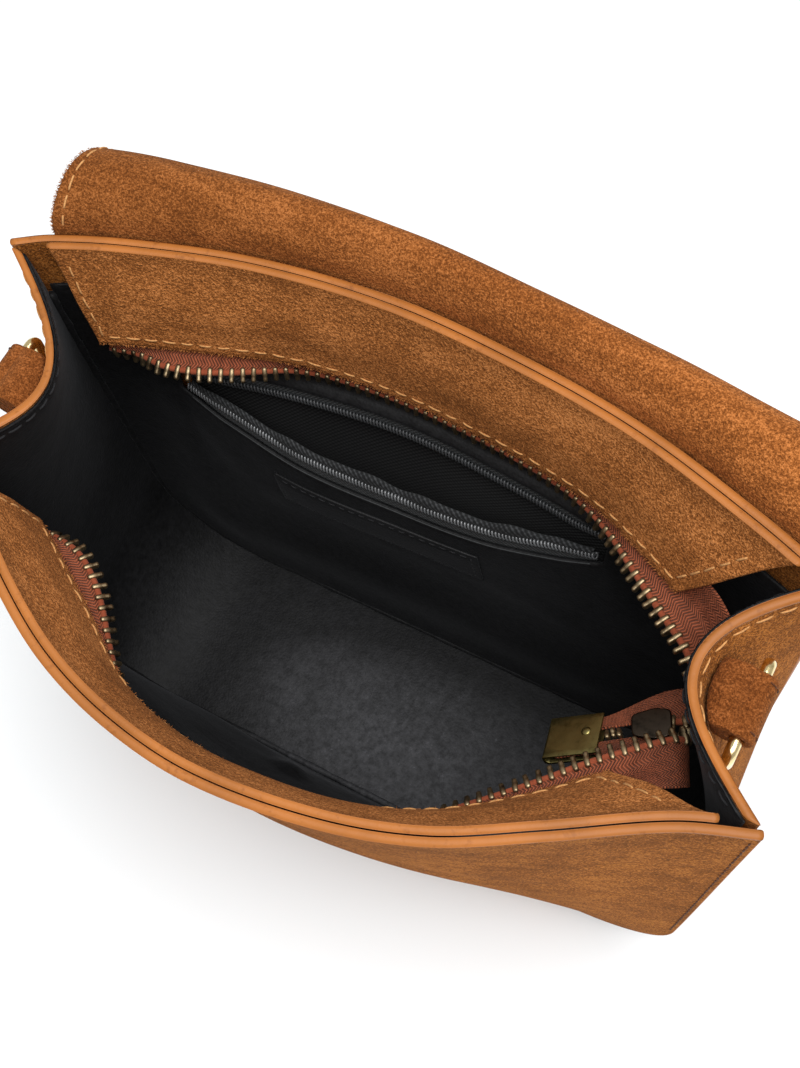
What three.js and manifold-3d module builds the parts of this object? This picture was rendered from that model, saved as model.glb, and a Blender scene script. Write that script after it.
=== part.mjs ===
// A suede crossbody bag, standing open with its flap thrown back.
// Millimetres. X runs to the right along the bag, Y to its back and Z up.
// The origin is at the middle of the ground under the base.
import * as THREE from "three";
import { mergeVertices } from "three/addons/utils/BufferGeometryUtils.js";
import Module from "manifold-3d";

// The bag's body
const BAG_HEIGHT = 158;
const BASE_WIDTH = 200;
const BASE_DEPTH = 56;
const TOP_DEPTH = 51;
const BACK_TOP_WIDTH = 205;
const FRONT_TOP_WIDTH = 193;
const FRONT_TOP_SHIFT = 10.5;
const CORNER_RADIUS = 38;
const FRONT_BULGE = 38.8;
const BACK_BULGE = 24.2;
const FRONT_BELLY = 10;
const BACK_BELLY = 4;
const LEFT_FOLD = 18;
const RIGHT_FOLD = 20.8;
const FOLD_SAG = 2.6;
const FOLD_START = 0.42;

// Materials' thicknesses and the clearance between pieces
const SUEDE = 2;
const FACING = 1.8;
const LINING = 0.9;
const TAPE = 0.7;
const GAP = 0.3;

// The facings and the main zip
const FACING_WIDTH = 31;
const STAND_BASE = 3;
const STAND_OFF = 20;
const TAPE_BEHIND = 7.5;
const TAPE_TUCK = 0.8;
const TAPE_SHOWS = 4.6;
const LINING_DROP = 22.5;
const TEETH_WIDTH = 2.6;
const TEETH_THICKNESS = 2;
const TEETH_RAISE = 0.6;
const CLOSED_TEETH_WIDTH = 2.4;
const CLOSED_CLEAR = 1.2;

// The linings: room for the gusset's fold, and how far the front one hangs loose
const FOLD_ROOM = 3.4;
const FRONT_LOOSE = 7;
const LINING_OFF = 0.45;

// The pocket in the back lining
const POCKET_DROP = 43;
const POCKET_LOW_HEIGHT = 34;
const POCKET_SHEET = 0.6;
const POCKET_TAPE = 0.5;
const POCKET_TAPE_HEIGHT = 6;
const POCKET_TUCK = 1.2;
const COIL_RADIUS = 1;
const POCKET_ROOM = 2.9;
const POCKET_COLUMNS = 12;
const POCKET_HOLD = 1.5;
const POCKET_EASE = 2;
const POCKET_SAG = 14.5;
const POCKET_RISE = 8;
const POCKET_TURN = 2.5;

// The bare patch under the pocket
const PATCH_LEFT = -0.46;
const PATCH_RIGHT = 0.19;
const PATCH_DROP = 72;
const PATCH_HEIGHT = 18;
const PATCH_THICKNESS = 0.8;

// The slider and the end clamp
const SLIDER_LENGTH = 9;
const SLIDER_WIDTH = 8;
const SLIDER_PLATE = 1;
const SLIDER_THROAT = 2.8;
const SLIDER_POST = 1.8;
const CLAMP_LENGTH = 13.5;
const CLAMP_WIDTH = 11.2;
const CLAMP_PLATE = 0.6;
const CLAMP_GAP = 1.7;
const RIVET_RADIUS = 1.2;
const RIVET_INSET = 3.5;
const RIVET_HEIGHT = 0.8;

// The magnet
const MAGNET_RADIUS = 8;
const MAGNET_THICKNESS = 1.8;
const MAGNET_SHARE = -0.16;
const MAGNET_HEIGHT = 32;
const MAGNET_SEAT = 1.2;

// The flap
const FLAP_THICKNESS = 2.2;
const FLAP_LENGTH = 176;
const FLAP_HALF_WIDTH = 95;
const FLAP_CORNER = 40;
const FLAP_ARCH = 9.5;
const FLAP_ARCH_DEPTH = 29;
const FLAP_SEATED = 0.07;

// The tabs and the D-rings
const TAB_WIDTH = 14.6;
const TAB_THICKNESS = 1.8;
const TAB_DROP = 11;
const TAB_MIDDLE = -1;
const TAB_FLARE = 0.8;
const RING_WIRE = 1.4;
const RING_WIDTH = 22;
const RING_DROP = 18;
const RING_CORNER = 1.9;
const RING_CLEARANCE = 0.3;
const RING_OFF = 1;

// How far each rim bulges out past the line between its two corners, as shares
// of its named bulge; share runs from the left corner at -1 to the right at 1.
const FRONT_RIM = [
  { share: -1, bulge: 0 },
  { share: -0.86, bulge: 0.232 },
  { share: -0.68, bulge: 0.554 },
  { share: -0.5, bulge: 0.799 },
  { share: -0.3, bulge: 0.948 },
  { share: -0.08, bulge: 1 },
  { share: 0.2, bulge: 0.915 },
  { share: 0.42, bulge: 0.747 },
  { share: 0.62, bulge: 0.477 },
  { share: 0.84, bulge: 0.155 },
  { share: 1, bulge: 0 },
];
const BACK_RIM = [
  { share: -1, bulge: 0 },
  { share: -0.92, bulge: 0.207 },
  { share: -0.74, bulge: 0.504 },
  { share: -0.45, bulge: 0.847 },
  { share: -0.12, bulge: 1 },
  { share: 0.2, bulge: 0.917 },
  { share: 0.5, bulge: 0.711 },
  { share: 0.8, bulge: 0.322 },
  { share: 1, bulge: 0 },
];

// How far the facing and the zip stand off the panel at the facing's lower
// edge, as shares of STAND_OFF
const FRONT_STAND = [
  { share: -1, stand: 0.4 },
  { share: -0.66, stand: 0.4 },
  { share: -0.39, stand: 0.15 },
  { share: 0, stand: 0.15 },
  { share: 0.2, stand: 0.18 },
  { share: 0.52, stand: 0.425 },
  { share: 0.76, stand: 0.725 },
  { share: 0.9, stand: 0.95 },
  { share: 1, stand: 1 },
];
const BACK_STAND = [
  { share: -1, stand: 0.425 },
  { share: -0.6, stand: 0.3 },
  { share: -0.35, stand: 0.15 },
  { share: 0.15, stand: 0.15 },
  { share: 0.45, stand: 0.225 },
  { share: 0.62, stand: 0.4 },
  { share: 0.78, stand: 0.625 },
  { share: 0.9, stand: 0.9 },
  { share: 1, stand: 1 },
];

// How far each open tape's toothed edge stands out past its facing's lower edge,
// as shares of STAND_OFF
const FRONT_REACH = [
  { share: -0.86, reach: 0.1 },
  { share: -0.77, reach: 0.3 },
  { share: -0.67, reach: 0.27 },
  { share: -0.55, reach: 0.13 },
  { share: -0.4, reach: 0 },
  { share: 0.2, reach: 0 },
  { share: 0.39, reach: 0.09 },
  { share: 0.5, reach: 0.17 },
  { share: 0.67, reach: 0.26 },
  { share: 0.79, reach: 0.28 },
];
const BACK_REACH = [
  { share: -0.86, reach: 0 },
  { share: -0.79, reach: 0.06 },
  { share: -0.7, reach: 0.25 },
  { share: -0.6, reach: 0.28 },
  { share: -0.49, reach: 0.18 },
  { share: -0.37, reach: 0.03 },
  { share: -0.25, reach: 0 },
  { share: 0.35, reach: 0.02 },
  { share: 0.5, reach: 0.12 },
  { share: 0.65, reach: 0.28 },
  { share: 0.76, reach: 0.36 },
  { share: 0.83, reach: 0.35 },
];

// Where the facings' slanted ends start at the rim and finish at the lower edge
const FRONT_ENDS = { rimLeft: -0.92, lowLeft: -0.88, rimRight: 0.92, lowRight: 0.76 };
const BACK_ENDS = { rimLeft: -0.925, lowLeft: -0.87, rimRight: 0.92, lowRight: 0.74 };

// Where each open zip tape starts, and where it leaves its facing to turn down
const TAPE_START = -0.86;
const FRONT_TAPE_END = 0.79;
const BACK_TAPE_END = 0.83;

// Past the facings the tapes turn down beside the gusset and run back, side by
// side, to the end clamp. Each row gives the toothed edge and the outer edge, as
// shares of the right fold's innermost X, half the top depth and the height.
const FRONT_TURN = [
  { toothX: 1.0006, toothY: -0.345, toothZ: 0.8196, edgeX: 1.0661, edgeY: -0.725, edgeZ: 0.8418 },
  { toothX: 1.0364, toothY: -0.259, toothZ: 0.8006, edgeX: 1.084, edgeY: -0.608, edgeZ: 0.7975 },
  { toothX: 1.0149, toothY: -0.22, toothZ: 0.7772, edgeX: 1.0304, edgeY: -0.569, edgeZ: 0.7627 },
  { toothX: 0.941, toothY: -0.286, toothZ: 0.7658, edgeX: 0.9339, edgeY: -0.604, edgeZ: 0.762 },
  { toothX: 0.8338, toothY: -0.51, toothZ: 0.7582, edgeX: 0.8422, edgeY: -0.635, edgeZ: 0.7658 },
  { toothX: 0.7326, toothY: -0.659, toothZ: 0.7278, edgeX: 0.7409, edgeY: -0.784, edgeZ: 0.7354 },
];
const BACK_TURN = [
  { toothX: 1.0066, toothY: 0.227, toothZ: 0.807, edgeX: 1.078, edgeY: 0.608, edgeZ: 0.8291 },
  { toothX: 1.0364, toothY: 0.094, toothZ: 0.7905, edgeX: 1.0817, edgeY: 0.486, edgeZ: 0.7848 },
  { toothX: 1.0149, toothY: -0.031, toothZ: 0.7734, edgeX: 1.0304, edgeY: 0.373, edgeZ: 0.7563 },
  { toothX: 0.941, toothY: -0.141, toothZ: 0.7633, edgeX: 0.9292, edgeY: 0.176, edgeZ: 0.7468 },
  { toothX: 0.8243, toothY: -0.384, toothZ: 0.7506, edgeX: 0.816, edgeY: -0.259, edgeZ: 0.743 },
  { toothX: 0.7231, toothY: -0.533, toothZ: 0.7203, edgeX: 0.7148, edgeY: -0.408, edgeZ: 0.7127 },
];

// The pocket's slot: how far its upper and lower lips lie below the rim, as
// shares of POCKET_DROP, and how far the lower one sags off the panel, as a
// share of POCKET_SAG
const POCKET_LIPS = [
  { share: -0.74, upper: 1.058, lower: 1.256, lowerOff: 0.276 },
  { share: -0.6, upper: 1.046, lower: 1.372, lowerOff: 0.621 },
  { share: -0.35, upper: 1.023, lower: 1.489, lowerOff: 0.966 },
  { share: -0.05, upper: 1, lower: 1.512, lowerOff: 1 },
  { share: 0.2, upper: 1.023, lower: 1.489, lowerOff: 0.862 },
  { share: 0.4, upper: 1.046, lower: 1.395, lowerOff: 0.586 },
  { share: 0.52, upper: 1.07, lower: 1.302, lowerOff: 0.345 },
];

// The flap's run from its seam, over the top and down behind: share is along
// the run, reach is a share of the arch's depth there, arch of FLAP_ARCH above
// the rim and fall of FLAP_LENGTH below it.
const FLAP_RUN = [
  { share: 0, reach: 0, arch: 0, fall: 0.0568 },
  { share: 0.05, reach: 0.01, arch: 0, fall: 0.0085 },
  { share: 0.09, reach: 0.1, arch: 0.47, fall: 0 },
  { share: 0.14, reach: 0.38, arch: 1, fall: 0 },
  { share: 0.18, reach: 0.66, arch: 1, fall: 0 },
  { share: 0.22, reach: 0.88, arch: 0.47, fall: 0 },
  { share: 0.28, reach: 1, arch: 0, fall: 0.0341 },
  { share: 0.45, reach: 1.02, arch: 0, fall: 0.2045 },
  { share: 0.7, reach: 0.95, arch: 0, fall: 0.4545 },
  { share: 1, reach: 0.85, arch: 0, fall: 0.7557 },
];
// The arch's depth along the flap's width, as shares of FLAP_ARCH_DEPTH
const FLAP_REACH = [
  { share: -1, reach: 1 },
  { share: -0.5, reach: 0.638 },
  { share: 0, reach: 0.517 },
  { share: 0.4, reach: 0.534 },
  { share: 0.7, reach: 0.672 },
  { share: 1, reach: 0.897 },
];

// Grid counts
const PANEL_COLUMNS = 24;
const GUSSET_FOLD_COLUMNS = 6;
const FACING_COLUMNS = 24;
const LINING_COLUMNS = 18;
const TAPE_STEPS = 22;

// Reads a column of a table at a share, along a smooth curve through its rows.
function readTable(rows, column, share) {
  const last = rows.length - 1;
  if (share <= rows[0].share) return rows[0][column];
  if (share >= rows[last].share) return rows[last][column];
  let i = 0;
  while (rows[i + 1].share < share) i += 1;
  const slope = (j) => {
    const a = rows[Math.max(j - 1, 0)];
    const b = rows[Math.min(j + 1, last)];
    return (b[column] - a[column]) / (b.share - a.share);
  };
  const width = rows[i + 1].share - rows[i].share;
  const k = (share - rows[i].share) / width;
  const rise = rows[i + 1][column] - rows[i][column];
  const m0 = slope(i) * width;
  const m1 = slope(i + 1) * width;
  const bend = m0 * (k - 2 * k * k + k * k * k) + m1 * (k * k * k - k * k);
  return rows[i][column] + rise * (3 * k * k - 2 * k * k * k) + bend;
}

function smooth(value) {
  const k = Math.min(1, Math.max(0, value));
  return k * k * (3 - 2 * k);
}

function mix(a, b, k) {
  return a + (b - a) * k;
}

const FRONT = {
  y: -1,
  topWidth: FRONT_TOP_WIDTH,
  shift: FRONT_TOP_SHIFT,
  rim: FRONT_RIM,
  bulge: FRONT_BULGE,
  stand: FRONT_STAND,
  reach: FRONT_REACH,
  ends: FRONT_ENDS,
  tapeEnd: FRONT_TAPE_END,
  turn: FRONT_TURN,
};
const BACK = {
  y: 1,
  topWidth: BACK_TOP_WIDTH,
  shift: 0,
  rim: BACK_RIM,
  bulge: BACK_BULGE,
  stand: BACK_STAND,
  reach: BACK_REACH,
  ends: BACK_ENDS,
  tapeEnd: BACK_TAPE_END,
  turn: BACK_TURN,
};

// Half the width of a panel at a height: straight sides and rounded corners
function halfWidth(side, height, inset) {
  const width = mix(BASE_WIDTH, side.topWidth, height / BAG_HEIGHT);
  const radius = CORNER_RADIUS - inset;
  const below = Math.max(0, CORNER_RADIUS - height);
  const room = Math.max(0, radius * radius - below * below);
  return width / 2 - CORNER_RADIUS + Math.sqrt(room);
}

// A point on a panel's inner face. Across runs from -1 to 1, up from 0 to 1.
function panelPoint(side, across, up, inset = 0) {
  const height = up * BAG_HEIGHT;
  const bulge = side.bulge * readTable(side.rim, "bulge", across);
  const room = 1 - across * across;
  let out;
  if (side.y < 0) {
    out = bulge * up + FRONT_BELLY * 6.75 * up * (1 - up) ** 2 * room;
  } else {
    out = bulge * up ** 1.25 + BACK_BELLY * Math.sin(Math.PI * up) * room;
  }
  const depth = mix(BASE_DEPTH, TOP_DEPTH, up) / 2;
  const sag = (bulge * bulge * up) / (2 * BAG_HEIGHT);
  return new THREE.Vector3(
    side.shift * up + halfWidth(side, height, inset) * across,
    side.y * (depth + out),
    height - sag,
  );
}

// The unit normal of a surface given by at(a, b), from small steps
function normalOf(at, a, b, low, high) {
  const step = 1e-3;
  const a0 = Math.max(low.a, a - step);
  const a1 = Math.min(high.a, a + step);
  const b0 = Math.max(low.b, b - step);
  const b1 = Math.min(high.b, b + step);
  const alongA = at(a1, b).sub(at(a0, b));
  const alongB = at(a, b1).sub(at(a, b0));
  return alongA.cross(alongB).normalize();
}

const WHOLE = { low: { a: -1, b: 0 }, high: { a: 1, b: 1 } };

// The unit normal of a panel, pointing into the bag
function panelInward(side, across, up) {
  const clear = Math.min(0.9995, Math.max(0.04, up));
  const at = (a, b) => panelPoint(side, a, b);
  const normal = normalOf(at, across, clear, WHOLE.low, WHOLE.high);
  return normal.y * side.y > 0 ? normal.negate() : normal;
}

// A point at a distance down a panel from its rim and off its inner face
function hang(side, across, drop, off) {
  const run = Math.max(drop, 1);
  const lean = Math.min(Math.max(off / run, -0.8), 0.8);
  const up = 1 - (drop * Math.sqrt(1 - lean * lean)) / BAG_HEIGHT;
  const normal = panelInward(side, across, up);
  return panelPoint(side, across, up).addScaledVector(normal, off);
}

// How far the facing's outer face lies off the panel
function facingOff(side, across, drop) {
  const down = drop / FACING_WIDTH;
  const stand = STAND_OFF * readTable(side.stand, "stand", across);
  const base = Math.min(stand, STAND_BASE);
  const spread = Math.max(0, stand - base);
  return GAP + (base - GAP) * smooth(down / 0.65) + spread * Math.min(down, 1) ** 1.5;
}

function geometryFrom(points, triangles) {
  let volume = 0;
  for (const [i, j, k] of triangles) {
    volume += points[i].dot(points[j].clone().cross(points[k]));
  }
  const positions = [];
  for (const triangle of triangles) {
    const order = volume < 0 ? [triangle[0], triangle[2], triangle[1]] : triangle;
    for (const i of order) positions.push(points[i].x, points[i].y, points[i].z);
  }
  const geometry = new THREE.BufferGeometry();
  geometry.setAttribute("position", new THREE.Float32BufferAttribute(positions, 3));
  const merged = mergeVertices(geometry, 1e-5);
  merged.computeVertexNormals();
  return merged;
}

// A closed sheet over a grid. at(i, j) gives a point and a unit normal; inner
// and outer are the distances of its two faces along the normal. skip(i, j)
// leaves cells out, as a hole through the sheet.
function sheet({ columns, rows, at, inner, outer, skip = () => false }) {
  const points = [];
  const index = (i, j, face) => ((j * (columns + 1) + i) * 2) + face;
  for (let j = 0; j <= rows; j += 1) {
    for (let i = 0; i <= columns; i += 1) {
      const { point, normal } = at(i, j);
      points.push(point.clone().addScaledVector(normal, inner));
      points.push(point.clone().addScaledVector(normal, outer));
    }
  }
  const there = (i, j) => i >= 0 && j >= 0 && i < columns && j < rows && !skip(i, j);
  const triangles = [];
  const quad = (a, b, c, d) => triangles.push([a, b, c], [a, c, d]);
  for (let j = 0; j < rows; j += 1) {
    for (let i = 0; i < columns; i += 1) {
      if (!there(i, j)) continue;
      const corners = [[i, j], [i + 1, j], [i + 1, j + 1], [i, j + 1]];
      const low = corners.map(([a, b]) => index(a, b, 0));
      const high = corners.map(([a, b]) => index(a, b, 1));
      quad(high[0], high[1], high[2], high[3]);
      quad(low[3], low[2], low[1], low[0]);
      const beside = [[i, j - 1], [i + 1, j], [i, j + 1], [i - 1, j]];
      beside.forEach(([a, b], side) => {
        const next = (side + 1) % 4;
        if (!there(a, b)) quad(low[side], low[next], high[next], high[side]);
      });
    }
  }
  return geometryFrom(points, triangles);
}

// A closed solid through rings of points, one ring for each station
function loft(rings, closed = false) {
  const size = rings[0].length;
  const points = rings.flat();
  const triangles = [];
  const count = closed ? rings.length : rings.length - 1;
  for (let i = 0; i < count; i += 1) {
    const next = (i + 1) % rings.length;
    for (let k = 0; k < size; k += 1) {
      const a = i * size + k;
      const b = i * size + ((k + 1) % size);
      const c = next * size + ((k + 1) % size);
      const d = next * size + k;
      triangles.push([a, b, c], [a, c, d]);
    }
  }
  if (!closed) {
    const end = (rings.length - 1) * size;
    for (let k = 1; k < size - 1; k += 1) {
      triangles.push([0, k + 1, k]);
      triangles.push([end, end + k, end + k + 1]);
    }
  }
  return geometryFrom(points, triangles);
}

// A woven strip between two edges; each station has a toothed edge, a bend and
// an outer edge
function strip(stations, thickness) {
  const rings = stations.map((station, i) => {
    const { tooth, bend, edge } = station;
    const before = stations[Math.max(i - 1, 0)];
    const after = stations[Math.min(i + 1, stations.length - 1)];
    const along = after.tooth.clone().sub(before.tooth)
      .add(after.edge).sub(before.edge);
    const half = (from, to) => along.clone().cross(to.clone().sub(from)).normalize();
    const low = half(tooth, bend);
    const high = half(bend, edge);
    const middle = low.clone().add(high).divideScalar(1 + low.dot(high));
    const at = (point, normal, share) => point.clone().addScaledVector(normal, share * thickness);
    return [
      at(bend, middle, 0.5),
      at(edge, high, 0.5),
      at(edge, high, -0.5),
      at(bend, middle, -0.5),
      at(tooth, low, -0.5),
      at(tooth, low, 0.5),
    ];
  });
  return loft(rings);
}

// A bar of six-sided section beside a strip's toothed edge
function bar(stations, width, thickness, clear, raise) {
  const rings = stations.map((station, i) => {
    const before = stations[Math.max(i - 1, 0)];
    const after = stations[Math.min(i + 1, stations.length - 1)];
    const along = after.tooth.clone().sub(before.tooth);
    const outward = station.tooth.clone().sub(station.bend).normalize();
    const normal = along.clone().cross(outward).normalize();
    const out = normal.clone().cross(along).normalize();
    if (out.dot(outward) < 0) out.negate();
    const middle = station.tooth.clone().addScaledVector(out, clear + width / 2)
      .addScaledVector(normal, raise);
    return [[0.5, 0], [0.25, 0.5], [-0.25, 0.5], [-0.5, 0], [-0.25, -0.5], [0.25, -0.5]]
      .map(([a, b]) => middle.clone()
        .addScaledVector(out, a * width)
        .addScaledVector(normal, b * thickness));
  });
  return loft(rings);
}

// Panel rows: close together round the corners, even above them
function panelHeights(arcRows, legRows) {
  const ups = [];
  for (let i = 0; i < arcRows; i += 1) {
    const angle = (i / arcRows) * (Math.PI / 2);
    ups.push((CORNER_RADIUS * (1 - Math.cos(angle))) / BAG_HEIGHT);
  }
  for (let i = 0; i <= legRows; i += 1) {
    ups.push(mix(CORNER_RADIUS / BAG_HEIGHT, 1, i / legRows));
  }
  return ups;
}

function panel(side) {
  const ups = panelHeights(4, 7);
  return sheet({
    columns: PANEL_COLUMNS,
    rows: ups.length - 1,
    at: (i, j) => {
      const across = mix(-1, 1, i / PANEL_COLUMNS);
      return {
        point: panelPoint(side, across, ups[j]),
        normal: flatAtEdges(side, across, ups[j]),
      };
    },
    inner: 0,
    outer: -SUEDE,
  });
}

// The panel's inward normal, held level along the ground so that its lower
// edge stays on it
function flatAtEdges(side, across, up) {
  const normal = panelInward(side, across, up);
  const level = new THREE.Vector3(0, -side.y, 0);
  return level.lerp(normal, smooth(up / 0.12)).normalize();
}

// The gusset's run down the left side, under the base and up the right side
function gussetStops(legSteps, arcSteps, baseSteps) {
  const stops = [];
  const leg = (k) => mix(BAG_HEIGHT, CORNER_RADIUS, k);
  for (let i = 0; i < legSteps; i += 1) {
    stops.push({ hand: -1, height: leg(i / legSteps), angle: 0, base: 0 });
  }
  for (let i = 0; i <= arcSteps; i += 1) {
    stops.push({ hand: -1, height: 0, angle: (i / arcSteps) * (Math.PI / 2), base: 0 });
  }
  for (let i = 1; i < baseSteps; i += 1) {
    stops.push({ hand: 0, height: 0, angle: 0, base: mix(-1, 1, i / baseSteps) });
  }
  for (let i = arcSteps; i >= 0; i -= 1) {
    stops.push({ hand: 1, height: 0, angle: (i / arcSteps) * (Math.PI / 2), base: 0 });
  }
  for (let i = legSteps - 1; i >= 0; i -= 1) {
    stops.push({ hand: 1, height: leg(i / legSteps), angle: 0, base: 0 });
  }
  return stops;
}

// A seam point of one panel at a stop, moved inward from the outline
function seamPoint(side, stop, inward) {
  const radius = CORNER_RADIUS;
  let x;
  let z;
  if (stop.hand === 0) {
    x = stop.base * (BASE_WIDTH / 2 - radius);
    z = inward;
  } else {
    const level = stop.height > 0 ? stop.height : radius * (1 - Math.sin(stop.angle));
    const width = mix(BASE_WIDTH, side.topWidth, level / BAG_HEIGHT) / 2;
    const reach = (radius - inward) * Math.cos(stop.angle);
    x = stop.hand * (width - radius + reach);
    z = stop.height > 0 ? stop.height : radius - (radius - inward) * Math.sin(stop.angle);
  }
  const up = z / BAG_HEIGHT;
  const depth = mix(BASE_DEPTH, TOP_DEPTH, up) / 2;
  return new THREE.Vector3(x + side.shift * up, side.y * depth, z);
}

// How deep the gusset folds in along its middle, at a share of the height
function foldDepth(hand, up) {
  const rise = Math.max(0, (up - FOLD_START) / (1 - FOLD_START)) ** 1.5;
  return hand === 0 ? 0 : (hand < 0 ? LEFT_FOLD : RIGHT_FOLD) * rise;
}

// A point of the gusset: across runs from the front seam at -1 to the back at
// 1. Inward is along the surface's normal, so a slanted stretch moves further.
function gussetPoint(stop, across, inward, clear) {
  const up = stop.hand === 0 ? 0 : stop.height / BAG_HEIGHT;
  const depth = foldDepth(stop.hand, up);
  const whole = mix(BASE_DEPTH, TOP_DEPTH, up);
  const most = 1 - (2 * clear) / whole;
  const share = Math.min(most, Math.max(-most, across));
  const angle = (Math.PI / 2) * share;
  const slope = (depth * Math.PI * Math.sin(angle)) / whole;
  const front = seamPoint(FRONT, stop, 0);
  const back = seamPoint(BACK, stop, 0);
  const inFront = seamPoint(FRONT, stop, 1).sub(front);
  const inBack = seamPoint(BACK, stop, 1).sub(back);
  const reach = inward * Math.sqrt(1 + slope * slope);
  const k = (share + 1) / 2;
  const point = front.lerp(back, k).addScaledVector(inFront.lerp(inBack, k), reach);
  const fold = depth * Math.cos(angle);
  point.x -= stop.hand * fold;
  point.z -= FOLD_SAG * (fold / RIGHT_FOLD) ** 2;
  return point;
}

function gussetSheet(stops, columns, inward, thickness, clear) {
  const rings = stops.map((stop) => {
    const low = [];
    const high = [];
    for (let k = 0; k <= columns; k += 1) {
      const across = mix(-1, 1, k / columns);
      low.push(gussetPoint(stop, across, inward, clear));
      high.push(gussetPoint(stop, across, inward + thickness, clear));
    }
    return [...low, ...high.reverse()];
  });
  return quadRings(rings);
}

// A loft whose ends are strips of quads, for rings folded from two rows
function quadRings(rings) {
  const size = rings[0].length;
  const half = size / 2;
  const points = rings.flat();
  const triangles = [];
  for (let i = 0; i < rings.length - 1; i += 1) {
    for (let k = 0; k < size; k += 1) {
      const a = i * size + k;
      const b = i * size + ((k + 1) % size);
      if (k < half) triangles.push([a, b, b + size], [a, b + size, a + size]);
      else triangles.push([a, b, a + size], [b, b + size, a + size]);
    }
  }
  for (const [first, turn] of [[0, true], [(rings.length - 1) * size, false]]) {
    for (let k = 0; k < half - 1; k += 1) {
      const quad = [first + k, first + k + 1, first + size - 2 - k, first + size - 1 - k];
      if (turn) quad.reverse();
      triangles.push([quad[0], quad[1], quad[2]], [quad[0], quad[2], quad[3]]);
    }
  }
  return geometryFrom(points, triangles);
}

function gusset() {
  return gussetSheet(gussetStops(6, 4, 4), GUSSET_FOLD_COLUMNS, 0, SUEDE, GAP);
}

function liningGusset() {
  const clear = 2 * GAP + LINING;
  return gussetSheet(gussetStops(6, 4, 4), GUSSET_FOLD_COLUMNS, SUEDE + GAP, LINING, clear);
}

// A facing: a suede strip inside a rim with slanted ends
function facing(side) {
  const rows = 4;
  const surface = (a, b) => {
    const ends = side.ends;
    const left = mix(ends.rimLeft, ends.lowLeft, b);
    const right = mix(ends.rimRight, ends.lowRight, b);
    const across = mix(left, right, (a + 1) / 2);
    return hang(side, across, b * FACING_WIDTH, facingOff(side, across, b * FACING_WIDTH));
  };
  return sheet({
    columns: FACING_COLUMNS,
    rows,
    at: (i, j) => {
      const a = mix(-1, 1, i / FACING_COLUMNS);
      const b = j / rows;
      const normal = normalOf(surface, a, b, WHOLE.low, WHOLE.high);
      if (normal.y * side.y > 0) normal.negate();
      return { point: surface(a, b), normal };
    },
    inner: 0,
    outer: FACING,
  });
}

// One row of a turn's table in millimetres
function turnPoints(row) {
  const middle = (FRONT_TOP_WIDTH + BACK_TOP_WIDTH) / 4 + FRONT_TOP_SHIFT / 2;
  const scale = new THREE.Vector3(middle - RIGHT_FOLD, TOP_DEPTH / 2, BAG_HEIGHT);
  return {
    tooth: new THREE.Vector3(row.toothX, row.toothY, row.toothZ).multiply(scale),
    edge: new THREE.Vector3(row.edgeX, row.edgeY, row.edgeZ).multiply(scale),
  };
}

// The tape's stations: behind the facing, then through the turn to the clamp
function tapeStations(side) {
  const middle = GAP + TAPE / 2;
  const top = FACING_WIDTH - TAPE_BEHIND;
  const turned = FACING_WIDTH + TAPE_TUCK;
  const toothed = FACING_WIDTH + TAPE_SHOWS;
  const stations = [];
  for (let i = 0; i <= TAPE_STEPS; i += 1) {
    const across = mix(TAPE_START, side.tapeEnd, i / TAPE_STEPS);
    const low = facingOff(side, across, FACING_WIDTH) - middle;
    const high = facingOff(side, across, top) - middle;
    const reach = STAND_OFF * Math.max(0, readTable(side.reach, "reach", across));
    stations.push({
      tooth: hang(side, across, toothed, low + reach),
      bend: hang(side, across, turned, low),
      edge: hang(side, across, top, high),
    });
  }
  const share = (TAPE_SHOWS - TAPE_TUCK) / (TAPE_SHOWS + TAPE_BEHIND);
  const turn = side.turn.map(turnPoints).map(({ tooth, edge }) => (
    { tooth, bend: tooth.clone().lerp(edge, share), edge }
  ));
  return { open: stations, turn };
}

function zipTape(side) {
  const { open, turn } = tapeStations(side);
  return strip([...open, ...turn], TAPE);
}

function zipTeeth(side) {
  const { open, turn } = tapeStations(side);
  return bar([...open, turn[0], turn[1]], TEETH_WIDTH, TEETH_THICKNESS, GAP, -side.y * TEETH_RAISE);
}

// A point off a panel, drawn in at its seams to clear the gusset
function liningAt(side, across, up, off) {
  const inset = SUEDE + 3 * GAP;
  const fold = Math.max(foldDepth(-1, up), foldDepth(1, up)) / RIGHT_FOLD;
  const height = Math.max(up * BAG_HEIGHT, inset);
  const whole = halfWidth(side, height, 0);
  const width = halfWidth(side, height, inset) - FOLD_ROOM * fold;
  const share = (across * width) / whole;
  const normal = flatAtEdges(side, share, height / BAG_HEIGHT);
  const point = panelPoint(side, share, height / BAG_HEIGHT).addScaledVector(normal, off);
  return { point, normal };
}

// How far the front lining hangs loose from its panel
function frontLiningOff(across, up) {
  const low = smooth(up / 0.16) * (1 - smooth((up - 0.2) / 0.35));
  const middle = 1 - smooth((Math.abs(across - MAGNET_SHARE) - 0.25) / 0.6);
  return LINING_OFF + FRONT_LOOSE * low * middle;
}

function liningFront() {
  const top = 1 - LINING_DROP / BAG_HEIGHT;
  const ups = panelHeights(4, 6).map((up) => up * top);
  return sheet({
    columns: LINING_COLUMNS,
    rows: ups.length - 1,
    at: (i, j) => {
      const across = mix(-1, 1, i / LINING_COLUMNS);
      return liningAt(FRONT, across, ups[j], frontLiningOff(across, ups[j]));
    },
    inner: 0,
    outer: LINING,
  });
}

// The height of one of the slot's lips
function lipHeight(column, across) {
  return BAG_HEIGHT - POCKET_DROP * readTable(POCKET_LIPS, column, across);
}

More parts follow.
